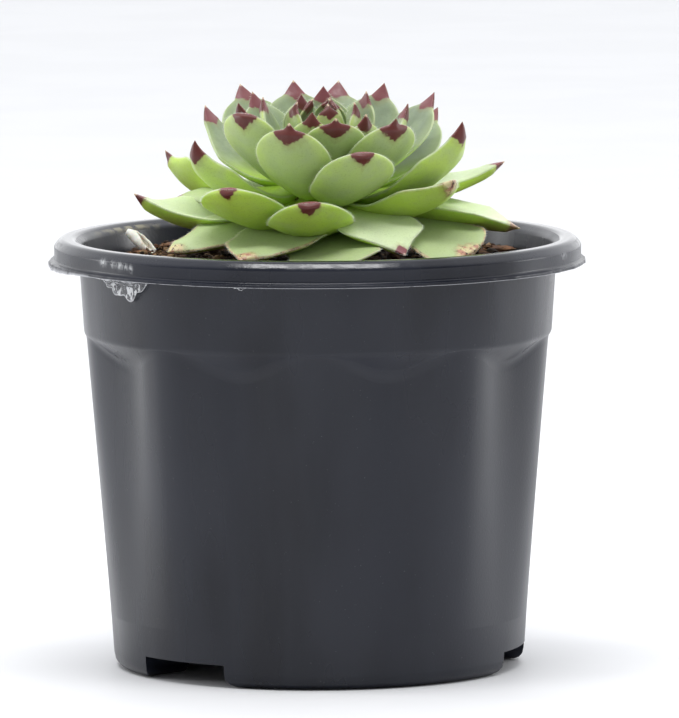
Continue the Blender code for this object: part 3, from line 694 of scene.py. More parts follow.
def leaf_path(root, tip, bend):
    """A cubic curve in the upright plane of the leaf, given as a function of t."""
    chord = tip - root
    lie = math.atan2(chord.y, chord.x)
    third = chord.length / 3
    first = Vector((math.cos(lie - bend), math.sin(lie - bend))) * third
    last = Vector((math.cos(lie + bend), math.sin(lie + bend))) * third
    a, b, c, d = root, root + first, tip - last, tip

    def at(t):
        s = 1.0 - t
        heading = (b - a) * 3 * s * s + (c - b) * 6 * s * t + (d - c) * 3 * t * t
        return cubic(a, b, c, d, t), heading.normalized()

    return at


def leaf_stance(age, rng):
    """The leaf's azimuth, its path, its roll and its length."""
    turn, reach, lift, roll, curl = PUSHED.get(age, (0.0,) * 5)
    turn += rng.uniform(-TURN_PLAY, TURN_PLAY)
    roll += rng.uniform(-ROLL_PLAY, ROLL_PLAY)
    lift += rng.uniform(-LIFT_PLAY, LIFT_PLAY)
    azimuth = FIRST_AZIMUTH + GOLDEN_ANGLE * age + math.radians(turn)
    ages = age - YOUNGEST + 2
    grown = ages / (OLDEST - YOUNGEST + 2)
    root_height = ROOT_LOW + (ROOT_HIGH - ROOT_LOW) * (1.0 - grown) ** ROOT_CURVE
    root = Vector((ROOT_DEPTH * core_radius(root_height), root_height))
    spread = REACH * (1.0 - math.exp(-((ages / REACH_AGES) ** REACH_CURVE)))
    share = 1.0 / (1.0 + math.exp((age - SINKING_AGE) / SINKING_AGES))
    height = SKIRT_HEIGHT + (CROWN_HEIGHT - SKIRT_HEIGHT) * share
    tip = Vector((spread + reach * MM, height + lift * MM))
    old = ease((age - DROOP_START) / (DROOP_END - DROOP_START))
    bend = YOUNG_CURL + (OLD_CURL - YOUNG_CURL) * old + curl
    return azimuth, leaf_path(root, tip, math.radians(bend)), roll, (tip - root).length


print("leaves:", OLDEST - YOUNGEST + 1 - len(LOST_LEAVES))

# %% [markdown]
# ## One fine leaf
#
# A leaf is a thick spoon. It is narrow at the root, widest past the middle and ends in a short
# point with a spine. The end has hollow flanks, like an onion dome. Its upper face is hollow and
# its underside is keeled. The mesh has rows along the blade and a closed ring of points in each
# row, packed closely at the margins and near the tip, where the form turns fastest. The old
# leaves of the skirt taper more evenly, and some have worn, blunt and wavy ends.

# %% Shape one leaf
LEAF_WIDTH, WIDTH_AGES = 17.8 * MM, 13.0
THINNEST, MARGIN, THICKNESS_SHARE = 1.3 * MM, 0.7 * MM, 0.2
WITHERING_AGE, WITHERED_SHARE = 25, 0.85
SPOON, ROOT_SHARE, WIDEST = 0.22, 0.42, 0.55
NECK_SHARE, POINT_SLOPE = 0.20, 0.75
WAVE_HEIGHT, WAVES, NICK_DEPTH = 0.35 * MM, 11.0, 0.12
KEEL_SHARE, KEEL_SPREAD = 0.10, 0.28
DENT_DEPTH, DENT_SIZE = 0.10 * MM, 4.0 * MM
BODY_ROWS, LEAF_COLUMNS = 22, 28
TIP_ROWS_MM = (6.4, 5.6, 4.9, 4.3, 3.7, 3.2, 2.7, 2.25, 1.85, 1.5, 1.15, 0.85, 0.55, 0.3, 0.12, 0.0)
LEAF_ROWS = BODY_ROWS + len(TIP_ROWS_MM)

# Where a leaf starts to taper, as a share of its length from the tip; how worn its end is; how
# much of the point is folded out of sight, in millimetres; which leaves are deeper spoons; which
# have longer points; and how far a tip is swept aside, in millimetres
TAPER = {7: 0.45, 10: 0.30, 11: 0.30, 16: 0.30, 19: 0.55, 20: 0.18, 21: 0.30, 22: 0.35, 23: 0.40}
TAPER |= {24: 0.25, 25: 0.35, 26: 0.32, 27: 0.45, 28: 0.45, 30: 0.4, 31: 0.55, 33: 0.45, 34: 0.25}
WORN = {16: 0.7, 24: 0.4, 26: 0.8, 27: 0.6, 29: 1.0, 30: 0.6, 31: 0.8, 33: 0.8, 34: 0.7}
FOLDED = {2: 1.3, 8: 2.0, 13: 2.0, 16: 0.0, 18: 1.5}
DEEP = {10: 0.30, 16: 0.40, 19: 0.36, 20: 0.40, 23: 0.42, 24: 0.40}
LONG_NECKS = {-1, 1, 4, 6, 9, 12, 14}
SWEPT = {26: -5.5, 31: -5.0}


def blade_half_width(left, half, length, age):
    """Half the width where the given length is left to the tip, all in metres."""
    worn, blunt = WORN.get(age, 0.0), age in FOLDED
    swell = ROOT_SHARE + (1.0 - ROOT_SHARE) * min(1.0, (1.0 - left / length) / WIDEST) ** 0.8
    neck_share = 2.0 * NECK_SHARE if age in LONG_NECKS or age < 0 else NECK_SHARE
    neck = 0.0 if blunt else neck_share * half * (1.0 - worn)
    share = min(1.0, max(0.0, left - neck) / (half * (1.0 - 0.5 * worn)))
    dome = math.sqrt(1.0 - (1.0 - share) ** 2)
    if age in TAPER:
        dome *= min(1.0, (left + 0.25 * half * worn) / (TAPER[age] * length))
    point = 0.0 if blunt else POINT_SLOPE * min(left, 0.4 * half)
    return half * (swell**3 * dome**3 + (point / half) ** 3) ** (1 / 3)


def leaf_rows(length):
    """Lengths left to the tip, closer together towards it."""
    shrink = min(1.0, 0.5 * length / (TIP_ROWS_MM[0] * MM))
    ends = [row * MM * shrink for row in TIP_ROWS_MM]
    step = (length - ends[0]) / BODY_ROWS
    return [length - step * i for i in range(BODY_ROWS)] + ends


def shape_leaf(age, rng):
    """The leaf's points, what its finish needs to know about each, and its two margins."""
    azimuth, path, roll, length = leaf_stance(age, rng)
    half = LEAF_WIDTH * (1.0 - math.exp(-(age - YOUNGEST + 3) / WIDTH_AGES)) / 2
    thickness = max(THINNEST, THICKNESS_SHARE * 2 * half)
    if age > WITHERING_AGE:
        thickness *= WITHERED_SHARE
    worn, folded = WORN.get(age, 0.0), FOLDED.get(age, 0.0)
    out, side = outward_at(azimuth), sideways_at(azimuth)
    points, notes, margins = [], [], []
    for left in leaf_rows(length):
        t = 1.0 - left / length
        place, heading = path(t)
        ahead = out * heading.x + UP * heading.y
        tilt = Matrix.Rotation(math.radians(roll) * t, 3, ahead)
        across, face = tilt @ side, tilt @ (out * -heading.y + UP * heading.x)
        centre = out * place.x + UP * place.y + side * SWEPT.get(age, 0.0) * MM * t**3
        width = max(0.02 * MM, blade_half_width(left, half, length, age))
        full = min(thickness * (1.0 - 0.45 * t * t), 0.16 * MM + 0.75 * width)
        margin = min(MARGIN, 0.8 * full)
        spoon = DEEP.get(age, SPOON) * (1.0 - 0.5 * t)
        for column, turn in enumerate(around(LEAF_COLUMNS)):
            s, facing = math.cos(turn), math.sin(turn)
            wave = WAVE_HEIGHT * s**3 * math.sin(WAVES * t + age) * max(0.25, worn) * min(1.0, 3.0 * t)
            wave *= min(1.0, left / (2.0 * MM))
            nick = 1.0 - NICK_DEPTH * worn * abs(roughness_at((s * 3.0, t * 9.0, age), 1.0)) * t
            thick = margin + (full - margin) * (1.0 - s * s) ** 0.8
            body = 0.5 * thick * abs(facing) ** 0.5
            keel = KEEL_SHARE * full * math.exp(-((s / KEEL_SPREAD) ** 2)) if facing < 0.0 else 0.0
            rise = spoon * width * s * s + wave + math.copysign(body, facing) - keel
            point = centre + across * (s * width * nick) + face * rise
            dent = DENT_DEPTH * min(1.0, left / MM) * roughness_at(point, DENT_SIZE, age)
            points.append(SEAT + LEAN @ (point + face * dent))
            from_point = (left + (0.8 if age in FOLDED else 0.6) * abs(s) * width) / MM + folded
            notes.append((t, from_point, abs(s), 0.5 - 0.5 * facing, worn))
            if column in (0, LEAF_COLUMNS // 2):
                margins.append((points[-1], LEAN @ (across * s), LEAN @ face, LEAN @ ahead))
    return points, notes, margins


print("points in one leaf:", len(shape_leaf(5, random.Random(LEAF_SEED))[0]))

# %% [markdown]
# ## The leaf's finish
#
# The upper face is bluish green on young leaves and pale on old ones, dulled by wax. On the old
# leaves the pale colour is also painted sheen and painted light: it stands in for their shine and
# for light in the shade under the upper leaves. The underside is a light grey green that turns
# lime on older leaves, and every leaf is yellow green at its root, made extra bright there as a
# painted glow against the shade in the heart of the rosette. Light passes a little way into the
# flesh, so the finish has some subsurface scattering.
# Each line of the list lays one coat over the last: the mask says where it shows, and it comes
# from the leaf's own numbers and from patches.

# %% Make the leaf finish
leaf_finish, tree, shader = new_finish("leaf_flesh", 0.42, 0.45)
shader.inputs["Subsurface Weight"].default_value = 0.25
shader.inputs["Subsurface Radius"].default_value = (0.8, 1.0, 0.35)
shader.inputs["Subsurface Scale"].default_value = 0.0014
NOTES = ("along", "from_point", "across", "under", "worn")
along, from_point, across, under, worn_share = (layer(tree, name) for name in NOTES)
age_share, tone = layer(tree, "age"), layer(tree, "tone")

# The old leaves' upper colour is partly their real pale green and partly painted sheen and painted
# light.
UPPER, UPPER_EDGE, UPPER_OLD_AND_PAINTED_SHEEN = (0.23, 0.29, 0.195), (0.28, 0.35, 0.18), (0.70, 0.81, 0.52)
UNDER, UNDER_EDGE, LIME = (0.48, 0.61, 0.240), (0.56, 0.70, 0.22), (0.52, 0.74, 0.060)
# The root colour is real yellow green, brightened into a painted glow against the shade at the root.
ROOT_GREEN_AND_PAINTED_GLOW, OLD_GREEN = (0.58, 0.80, 0.110), (0.28, 0.38, 0.10)
RIM_PALE, BLOOM, PORE = (0.60, 0.68, 0.46), (0.42, 0.50, 0.33), (0.18, 0.27, 0.07)
edge = step_between(tree, across, 0.50, 0.98)
upper = mix_colour(tree, edge, UPPER, UPPER_EDGE)
# Old upper faces: real pale green plus painted sheen and painted light.
upper = mix_colour(tree, step_between(tree, age_share, 0.60, 0.74), upper, UPPER_OLD_AND_PAINTED_SHEEN)
lower = mix_colour(tree, edge, UNDER, UNDER_EDGE)
lower = mix_colour(tree, step_between(tree, age_share, 0.42, 0.60, 0.0, 0.85), lower, LIME)
bloom = patch_mask(tree, 3.2, 4.0, low=0.35, high=0.7)
flesh = coat(tree, upper, (
    (step_between(tree, under, 0.4, 0.6), lower),
    # Root: real yellow green plus a painted glow against the shade there.
    (step_between(tree, along, 0.62, 0.15), ROOT_GREEN_AND_PAINTED_GLOW),
    (times(tree, step_between(tree, age_share, 0.78, 0.86), 0.55), OLD_GREEN),
    (times(tree, bloom, step_between(tree, age_share, 0.5, 0.7, 0.35, 0.10)), BLOOM),
    (times(tree, patch_mask(tree, 0.30, 2.0, low=0.56, high=0.68), 0.22), PORE),
    (step_between(tree, tone, 0.0, 1.0, 0.0, 0.18), OLD_GREEN),
    (times(tree, step_between(tree, across, 0.955, 0.99), 0.6), RIM_PALE),
))
print("numbers on each leaf point:", NOTES)

# %% [markdown]
# A maroon patch covers the point, crisp at its lower edge. It is largest on leaves of middle age,
# darker on the underside and pinker on top, and on some leaves the spine at its end is pale. Worn
# ends are dry: cream and pink with brown specks, and the most worn have a dry hem along both
# margins. The patch is measured in millimetres from the point, and noise makes its edge ragged.

# %% Paint the points and the worn ends
DARK_MAROON, PINK_MAROON, DUSTY_MAROON = (0.115, 0.018, 0.014), (0.24, 0.065, 0.080), (0.20, 0.07, 0.06)
CREAM, DRY_PINK, DRY_BROWN = (0.68, 0.60, 0.33), (0.50, 0.24, 0.17), (0.06, 0.03, 0.015)
BLUSH, SPINE = (0.30, 0.25, 0.08), (0.62, 0.45, 0.36)
ragged = patches(tree, 1.0, 3.0).outputs["Height"]
young_patch = step_between(tree, age_share, 0.10, 0.40, 3.2, 4.2)
lost_patch = step_between(tree, age_share, 0.57, 0.74, 0.0, 1.6)
patch_size = calculate(tree, "SUBTRACT", young_patch, lost_patch)
reach_down = calculate(tree, "MULTIPLY_ADD", ragged, -1.8, from_point)
in_patch = calculate(tree, "SUBTRACT", calculate(tree, "SUBTRACT", patch_size, 0.9), reach_down)
keeps_point = step_between(tree, worn_share, 0.2, 0.7, 1.0, 0.25)
pink_share = times(tree, step_between(tree, under, 0.7, 0.3), 0.8)
maroon = mix_colour(tree, pink_share, DARK_MAROON, PINK_MAROON)
maroon = mix_colour(tree, times(tree, bloom, 0.25), maroon, DUSTY_MAROON)
dry = mix_colour(tree, patch_mask(tree, 1.3, 3.0), CREAM, DRY_PINK)
dry = mix_colour(tree, patch_mask(tree, 0.7, 3.0, low=0.58, high=0.64), dry, DRY_BROWN)
dry_reach = calculate(tree, "MULTIPLY_ADD", ragged, -3.0, from_point)
dry_end = times(
    tree, step_between(tree, dry_reach, 2.2, 0.6), step_between(tree, worn_share, 0.25, 0.6)
)
hem = times(tree, step_between(tree, across, 0.88, 0.96), step_between(tree, along, 0.55, 0.80))
hem = times(tree, hem, step_between(tree, worn_share, 0.65, 0.8, 0.0, 0.7))
spine = times(
    tree, step_between(tree, from_point, 0.75, 0.35), step_between(tree, tone, 0.45, 0.6)
)
paint(tree, shader, coat(tree, flesh, (
    (times(tree, step_between(tree, in_patch, -1.6, 0.0), 0.30), BLUSH),
    (times(tree, step_between(tree, in_patch, -0.20, 0.30), keeps_point), maroon),
    (calculate(tree, "MAXIMUM", dry_end, hem), dry),
    (spine, SPINE),
)))
tree.links.new(step_between(tree, ragged, 0.3, 0.7, 0.36, 0.52), shader.inputs["Roughness"])
grain(tree, shader, patches(tree, 0.35, 3.0).outputs["Height"], 0.03)
print("finish:", leaf_finish.name)

# %% [markdown]
# All leaves go into one mesh, because the plant grew as one thing. Two numbers are added for each
# leaf: its share of the oldest age, and a random tone, so that neighbours differ a little.

# %% Grow the rosette
TONE_SEED = 5
rng, tone_rng = random.Random(LEAF_SEED), random.Random(TONE_SEED)
leaf_points, leaf_faces, leaf_margins = [], [], []
leaf_layers = {name: [] for name in (*NOTES, "age", "tone")}
for age in range(YOUNGEST, OLDEST + 1):
    points, notes, margins = shape_leaf(age, rng)
    if age in LOST_LEAVES:
        continue
    leaf_faces += grid_quads(LEAF_ROWS, LEAF_COLUMNS, len(leaf_points))
    leaf_faces += end_caps(LEAF_ROWS, LEAF_COLUMNS, len(leaf_points))
    leaf_points += points
    leaf_margins.append(margins)
    for index, name in enumerate(NOTES):
        leaf_layers[name] += [note[index] for note in notes]
    leaf_layers["age"] += [(age - YOUNGEST) / (OLDEST - YOUNGEST)] * len(points)
    leaf_layers["tone"] += [tone_rng.random()] * len(points)
rosette_leaves = make_piece("rosette_leaves", leaf_points, leaf_faces, leaf_finish, leaf_layers)
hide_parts("rosette")

# %% [markdown]
# ## The hairs on the margins
#
# Close up, each leaf's margin carries a fringe of short white hairs. They are what makes the
# edges glow. A hair is a thin spike on a three-sided foot. The hairs are mesh and not a hair
# system, so that they stay in the exported model.

# %% Add the fringe
HAIR_LENGTH, HAIR_RADIUS, HAIR_SPACING = 0.48 * MM, 0.042 * MM, 0.34 * MM
HAIR_FOOT, HAIR_LEAN, HAIR_AHEAD, HAIR_SEED = 0.15, 0.35, 0.45, 3
BARE_ROWS = 4
hair_finish, shader = two_tone(
    "margin_hair", 0.5, 0.4, (0.80, 0.84, 0.68), (0.90, 0.90, 0.82), dict(size=2.0)
)
shader.inputs["Subsurface Weight"].default_value = 0.2
shader.inputs["Subsurface Scale"].default_value = 0.0005


def add_hair(points, faces, foot, direction, side, length):
    start = len(points)
    other = direction.cross(side).normalized()
    for turn in around(3):
        ring = side * math.cos(turn) + other * math.sin(turn)
        points.append(foot - direction * HAIR_FOOT * MM + ring * HAIR_RADIUS)
    points.append(foot + direction * length)
    faces += [(start, start + 1, start + 3), (start + 1, start + 2, start + 3)]
    faces += [(start + 2, start, start + 3), (start, start + 2, start + 1)]


hair_rng = random.Random(HAIR_SEED)
hair_points, hair_faces = [], []
for line in [margins[parity::2] for margins in leaf_margins for parity in (0, 1)]:
    left_over = 0.0
    for here, there in zip(line[BARE_ROWS:], line[BARE_ROWS + 1:]):
        stretch = (there[0] - here[0]).length
        while left_over < stretch:
            foot = here[0].lerp(there[0], left_over / stretch)
            lean = Vector([hair_rng.uniform(-HAIR_LEAN, HAIR_LEAN) for _ in range(3)])
            direction = (here[1] + here[3] * HAIR_AHEAD + lean).normalized()
            length = HAIR_LENGTH * hair_rng.uniform(0.6, 1.25)
            add_hair(hair_points, hair_faces, foot, direction, here[2], length)
            left_over += HAIR_SPACING * hair_rng.uniform(0.7, 1.3)
        left_over -= stretch
leaf_hairs = make_piece("leaf_hairs", hair_points, hair_faces, hair_finish, smooth=False)

# %% [markdown]
# ## The stem
#
# Under the skirt of leaves the plant stands on a short thick stem, scaled where old leaves fell.
# It shows only from behind, where the plant leans away. Rings of points follow the core that the
# leaves grow from, and eight ridges that turn from ring to ring make the scales.

# %% Make the stem
STEM_RADIUS, STEM_FOOT, STEM_ROWS, STEM_COLUMNS = 4.0 * MM, -7.0 * MM, 40, 48
SCALE_HEIGHT, SCALES, SCALE_TWIST = 0.35 * MM, 8, 0.8
stem_finish, shader = two_tone(
    "stem_bark", 0.75, 0.3, (0.10, 0.085, 0.035), (0.26, 0.25, 0.10),
    dict(size=1.6, detail=4.0, drawn_out=(1.0, 1.0, 0.5)), depth_mm=0.4,
)
stem_points = []
for row in range(STEM_ROWS):
    height = CORE_TOP + (STEM_FOOT - CORE_TOP) * row / (STEM_ROWS - 1)
    base = core_radius(height) if height > CORE_BOTTOM else 0.0
    bare = height < CORE_WAIST
    radius = max(base * 0.98, STEM_RADIUS * 0.97 if bare else 0.2 * MM)
    for azimuth in around(STEM_COLUMNS):
        ridge = SCALE_HEIGHT * abs(math.sin(SCALES * azimuth + row * SCALE_TWIST)) if bare else 0.0
        local = outward_at(azimuth) * (radius - SCALE_HEIGHT + ridge) + UP * height
        stem_points.append(SEAT + LEAN @ local)
stem_faces = grid_quads(STEM_ROWS, STEM_COLUMNS) + end_caps(STEM_ROWS, STEM_COLUMNS)
rosette_stem = make_piece("rosette_stem", stem_points, stem_faces, stem_finish)

# %% [markdown]
# ## The potting mix
#
# The mix is dark peat with reddish bark. Its bed is a disc of rings, lowest at the wall, with
# coarse lumps from the CAD model and finer clods on top of them. Rings that follow the pot's
# inside close it below, so it shows through the drain holes too.

# %% Make the soil bed
GAP = 0.3 * MM
SOIL_EDGE_LEVEL, SOIL_LEVEL, SOIL_DIP = 74.6 * MM, 77.0 * MM, 0.6 * MM
SOIL_FALL_START, SOIL_FALL_END = 34.0 * MM, 43.5 * MM
SOIL_CALM_RADIUS, SOIL_LUMP_SIZE, SOIL_LUMP_HEIGHT = 16.0 * MM, 7.0 * MM, 0.9 * MM
SOIL_COLUMNS, SOIL_ROWS = 240, 66
SOIL_SIDES_MM = (64.2, 59.0, 48.0, 34.0, 20.0, 8.0, 6.6)
SOIL_BASE_MM, SOIL_BASE = (36.0, 18.0, 0.01), 5.5 * MM
# Each mound is its place and spread in millimetres and its height
MOUNDS = [(-27.0, 24.0, 7.0, 1.0), (35.0, 23.0, 6.0, 1.6), (-36.0, 4.0, 5.0, 0.7)]
soil_finish, shader = two_tone(
    "potting_mix", 0.95, 0.25, (0.012, 0.0075, 0.005), (0.060, 0.030, 0.016),
    dict(size=2.4, detail=6.0, low=0.35, high=0.65), depth_mm=1.2,
    flecks=((0.13, 0.062, 0.030), dict(size=0.7, detail=4.0, low=0.5, high=0.62)),
)


def soil_height(x, y):
    """The CAD model's soil, with a few low mounds of loose bark."""
    radius = math.hypot(x, y)
    fall = ease((radius - SOIL_FALL_START) / (SOIL_FALL_END - SOIL_FALL_START))
    dip = SOIL_DIP * max(0.0, 1.0 - radius / SOIL_CALM_RADIUS)
    spot = Vector((x, y, 0.0)) / SOIL_LUMP_SIZE
    lumps = noise.noise(spot) + 0.5 * noise.noise(spot * 2.3 + Vector((5.0, 1.0, 2.0)))
    strength = SOIL_LUMP_HEIGHT * max(0.0, min(1.0, radius / SOIL_CALM_RADIUS - 0.5))
    level = SOIL_LEVEL + (SOIL_EDGE_LEVEL - SOIL_LEVEL) * fall - dip + strength * lumps
    for at_x, at_y, spread, height in MOUNDS:
        away = math.hypot(x / MM - at_x, y / MM - at_y) / spread
        level += height * MM * math.exp(-away * away)
    return level


def clod_height(x, y):
    """Fine clods on the bed."""
    spot = (x, y, 0.0)
    rough = 0.45 * roughness_at(spot, 2.6 * MM) + 0.30 * roughness_at(spot, 1.1 * MM, 3.0)
    return (rough + 0.18 * roughness_at(spot, 0.5 * MM, 9.0)) * MM


def ground_at(spot, clods=1.0):
    return soil_height(spot.x, spot.y) + clod_height(spot.x, spot.y) * clods


soil_edge = BAND_TOP_RADIUS - WALL - GAP - 0.25 * MM
inset = WALL + GAP
soil_points = []
for row in range(SOIL_ROWS):
    radius = min(soil_edge, soil_edge * (row + 0.001) / (SOIL_ROWS - 1))
    for azimuth in around(SOIL_COLUMNS):
        flat = outward_at(azimuth) * radius
        level = ground_at(flat, 1.0 if row < SOIL_ROWS - 1 else 0.3)
        soil_points.append((flat.x, flat.y, level))
for height in [height_mm * MM for height_mm in SOIL_SIDES_MM]:
    for azimuth in around(SOIL_COLUMNS):
        wall = BAND_BOTTOM_RADIUS if height > BAND_BOTTOM else wall_radius(height, azimuth)
        soil_points.append(outward_at(azimuth) * (wall - inset) + UP * height)
for radius_mm in SOIL_BASE_MM:
    for azimuth in around(SOIL_COLUMNS):
        soil_points.append(outward_at(azimuth) * radius_mm * MM + UP * SOIL_BASE)
soil_rows = len(soil_points) // SOIL_COLUMNS
soil_bed = make_piece("soil_bed", soil_points, grid_quads(soil_rows, SOIL_COLUMNS), soil_finish)
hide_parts("soil")

# %% [markdown]
# A bed alone looks like clay. The real mix is loose: crumbs of peat, flakes of bark and thin
# fibres. Each crumb is a small ball of twenty faces, pushed out of round and squashed, and the
# darkest are the most common. They are joined into one mesh, with a tone for each. Every fifth
# crumb lies on one of the mounds, and every seventh is a large one.

# %% Scatter the crumbs
crumb_finish, tree, shader = new_finish("soil_crumb", 0.9, 0.25)
crumb_tone = layer(tree, "tone")
flecks = patches(tree, 0.6, 4.0)
paint(tree, shader, coat(tree, (0.014, 0.009, 0.006), (
    (step_between(tree, crumb_tone, 0.45, 0.75), (0.10, 0.045, 0.021)),
    (step_between(tree, crumb_tone, 0.86, 0.97), (0.30, 0.19, 0.10)),
    (times(tree, flecks.outputs["Mask"], 0.4), (0.02, 0.012, 0.008)),
)))
grain(tree, shader, flecks.outputs["Height"], 0.25)

CRUMB_COUNT, MOUND_EVERY, LARGE_EVERY, CRUMB_SEED = 2600, 5, 7, 17
CRUMB_WIDTHS, CRUMB_HEIGHT = ((0.7, 1.4), (0.5, 1.0)), 0.55
CRUMB_TURNS = ((-0.7, 0.7), (-0.7, 0.7), (0, 6.3))


def ball(subdivisions):
    """Points and faces of a ball with a radius of 1."""
    bm = bmesh.new()
    bmesh.ops.create_icosphere(bm, subdivisions=subdivisions, radius=1.0)
    points = [vertex.co.copy() for vertex in bm.verts]
    faces = [tuple(vertex.index for vertex in face.verts) for face in bm.faces]
    bm.free()
    return points, faces


def stretched(point, sizes):
    return Vector([part * size for part, size in zip(point, sizes)])


BALL_POINTS, BALL_FACES = ball(1)
crumb_rng = random.Random(CRUMB_SEED)
crumb_points, crumb_faces, crumb_tones = [], [], []
for number in range(CRUMB_COUNT):
    radius = soil_edge * math.sqrt(crumb_rng.uniform(0.01, 1.0))
    azimuth = crumb_rng.uniform(0.0, math.tau)
    on_mound = number % MOUND_EVERY == 0
    if on_mound:
        at_x, at_y, spread, _ = MOUNDS[number // MOUND_EVERY % len(MOUNDS)]
        at_x += crumb_rng.gauss(0.0, 0.6 * spread)
        at_y += crumb_rng.gauss(0.0, 0.6 * spread)
        radius, azimuth = math.hypot(at_x, at_y) * MM, math.atan2(at_x, -at_y)
    size = crumb_rng.uniform(0.25, 0.7) if number % LARGE_EVERY else crumb_rng.uniform(0.7, 1.5)
    flat = outward_at(azimuth) * min(radius, soil_edge - (size + 0.4) * MM)
    sizes = [size * MM * crumb_rng.uniform(*limits) for limits in CRUMB_WIDTHS]
    sizes.append(size * MM * CRUMB_HEIGHT)
    ground = ground_at(flat) + (crumb_rng.uniform(0.0, 0.9) * MM if on_mound else 0.0)
    centre = flat + UP * (ground + 0.1 * size * MM)
    turn = Euler([crumb_rng.uniform(*limits) for limits in CRUMB_TURNS]).to_matrix()
    crumb_faces += [tuple(len(crumb_points) + i for i in face) for face in BALL_FACES]
    for corner in BALL_POINTS:
        bumped = corner * (1.0 + 0.4 * roughness_at(corner, 0.8, number * 0.37))
        crumb_points.append(centre + turn @ stretched(bumped, sizes))
    crumb_tones += [crumb_rng.uniform(0.45 if on_mound else 0.0, 1.0)] * len(BALL_POINTS)
soil_crumbs = make_piece(
    "soil_crumbs", crumb_points, crumb_faces, crumb_finish, {"tone": crumb_tones}, smooth=False
)

# %% [markdown]
# The fibres are thin three-sided tubes along short wandering lines that lie on the bed. Every
# third one arches up a little.

# %% Lay the fibres
FIBRE_COUNT, FIBRE_POINTS, FIBRE_RADIUS, FIBRE_SEED = 130, 9, 0.09 * MM, 29
fibre_finish, shader = two_tone(
    "soil_fibre", 0.8, 0.3, (0.16, 0.085, 0.04), (0.34, 0.24, 0.14), dict(size=4.0)
)
fibre_rng = random.Random(FIBRE_SEED)
fibre_points, fibre_faces = [], []
for number in range(FIBRE_COUNT):
    radius = soil_edge * math.sqrt(fibre_rng.uniform(0.12, 0.88))
    spot = outward_at(fibre_rng.uniform(0.0, math.tau)) * radius
    heading = fibre_rng.uniform(0.0, math.tau)
    step = fibre_rng.uniform(0.4, 1.0) * MM
    fibre_faces += grid_quads(FIBRE_POINTS, 3, len(fibre_points))
    fibre_faces += end_caps(FIBRE_POINTS, 3, len(fibre_points))
    for index in range(FIBRE_POINTS):
        heading += fibre_rng.uniform(-0.5, 0.5)
        ahead = Vector((math.cos(heading), math.sin(heading), 0.0))
        spot = spot + ahead * step
        if spot.length > soil_edge - 0.5 * MM:
            spot = spot.normalized() * (soil_edge - 0.5 * MM)
        arch = 0.6 * MM * math.sin(math.pi * index / (FIBRE_POINTS - 1)) * (number % 3 == 0)
        centre = spot + UP * (ground_at(spot) + 0.15 * MM + arch)
        side = Vector((-ahead.y, ahead.x, 0.0))
        slim = FIBRE_RADIUS * (1.0 - 0.6 * abs(2.0 * index / (FIBRE_POINTS - 1) - 1.0))
        for turn in around(3):
            fibre_points.append(centre + (side * math.cos(turn) * slim + UP * (math.sin(turn) * slim)))
soil_fibres = make_piece("soil_fibres", fibre_points, fibre_faces, fibre_finish)

# %% [markdown]
# ## Bark chips and the pale husk
#
# Four larger bark chips lie on the mix. Each fine chip takes its place and size from its CAD node:
# a ball with many faces is pressed into the node's box and cut into layers by waves and noise.
# The husk at the left is a dry curled shell, so it is a half tube along a short rising line.

# %% Make the bark chips
bark_finish, shader = two_tone(
    "bark", 0.85, 0.3, (0.055, 0.022, 0.010), (0.26, 0.115, 0.050),
    dict(size=1.2, detail=5.0, drawn_out=(3.0, 0.5, 0.35), low=0.38, high=0.62), depth_mm=0.5,
    flecks=((0.46, 0.30, 0.17), dict(size=0.9, drawn_out=(2.0, 0.7, 0.5), low=0.58, high=0.66)),
)
CHIP_FINENESS, CHIP_SQUARENESS, CHIP_FILL, CHIP_LAYERS = 4, 0.75, 0.80, 14.0


def make_chip(node, salt):
    low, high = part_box(node)
    centre, half = (low + high) / 2, (high - low) / 2
    points, faces = ball(CHIP_FINENESS)
    for index, point in enumerate(points):
        for axis in (0, 1):
            point[axis] = math.copysign(abs(point[axis]) ** CHIP_SQUARENESS, point[axis])
        rough = 0.16 * roughness_at(point, 0.5, salt) + 0.07 * roughness_at(point, 0.16, salt)
        layers = math.sin(CHIP_LAYERS * point.z + 4.0 * roughness_at(point, 0.6, salt + 5.0))
        point *= CHIP_FILL + rough + 0.10 * layers * (1.0 - abs(point.z))
        points[index] = centre + stretched(point, half)
    chip = make_piece(node + "_fine", points, faces, bark_finish)
    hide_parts(node)


for number, node in enumerate(n for n in sorted(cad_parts) if n.startswith("bark_chip")):
    make_chip(node, 3.7 * number)

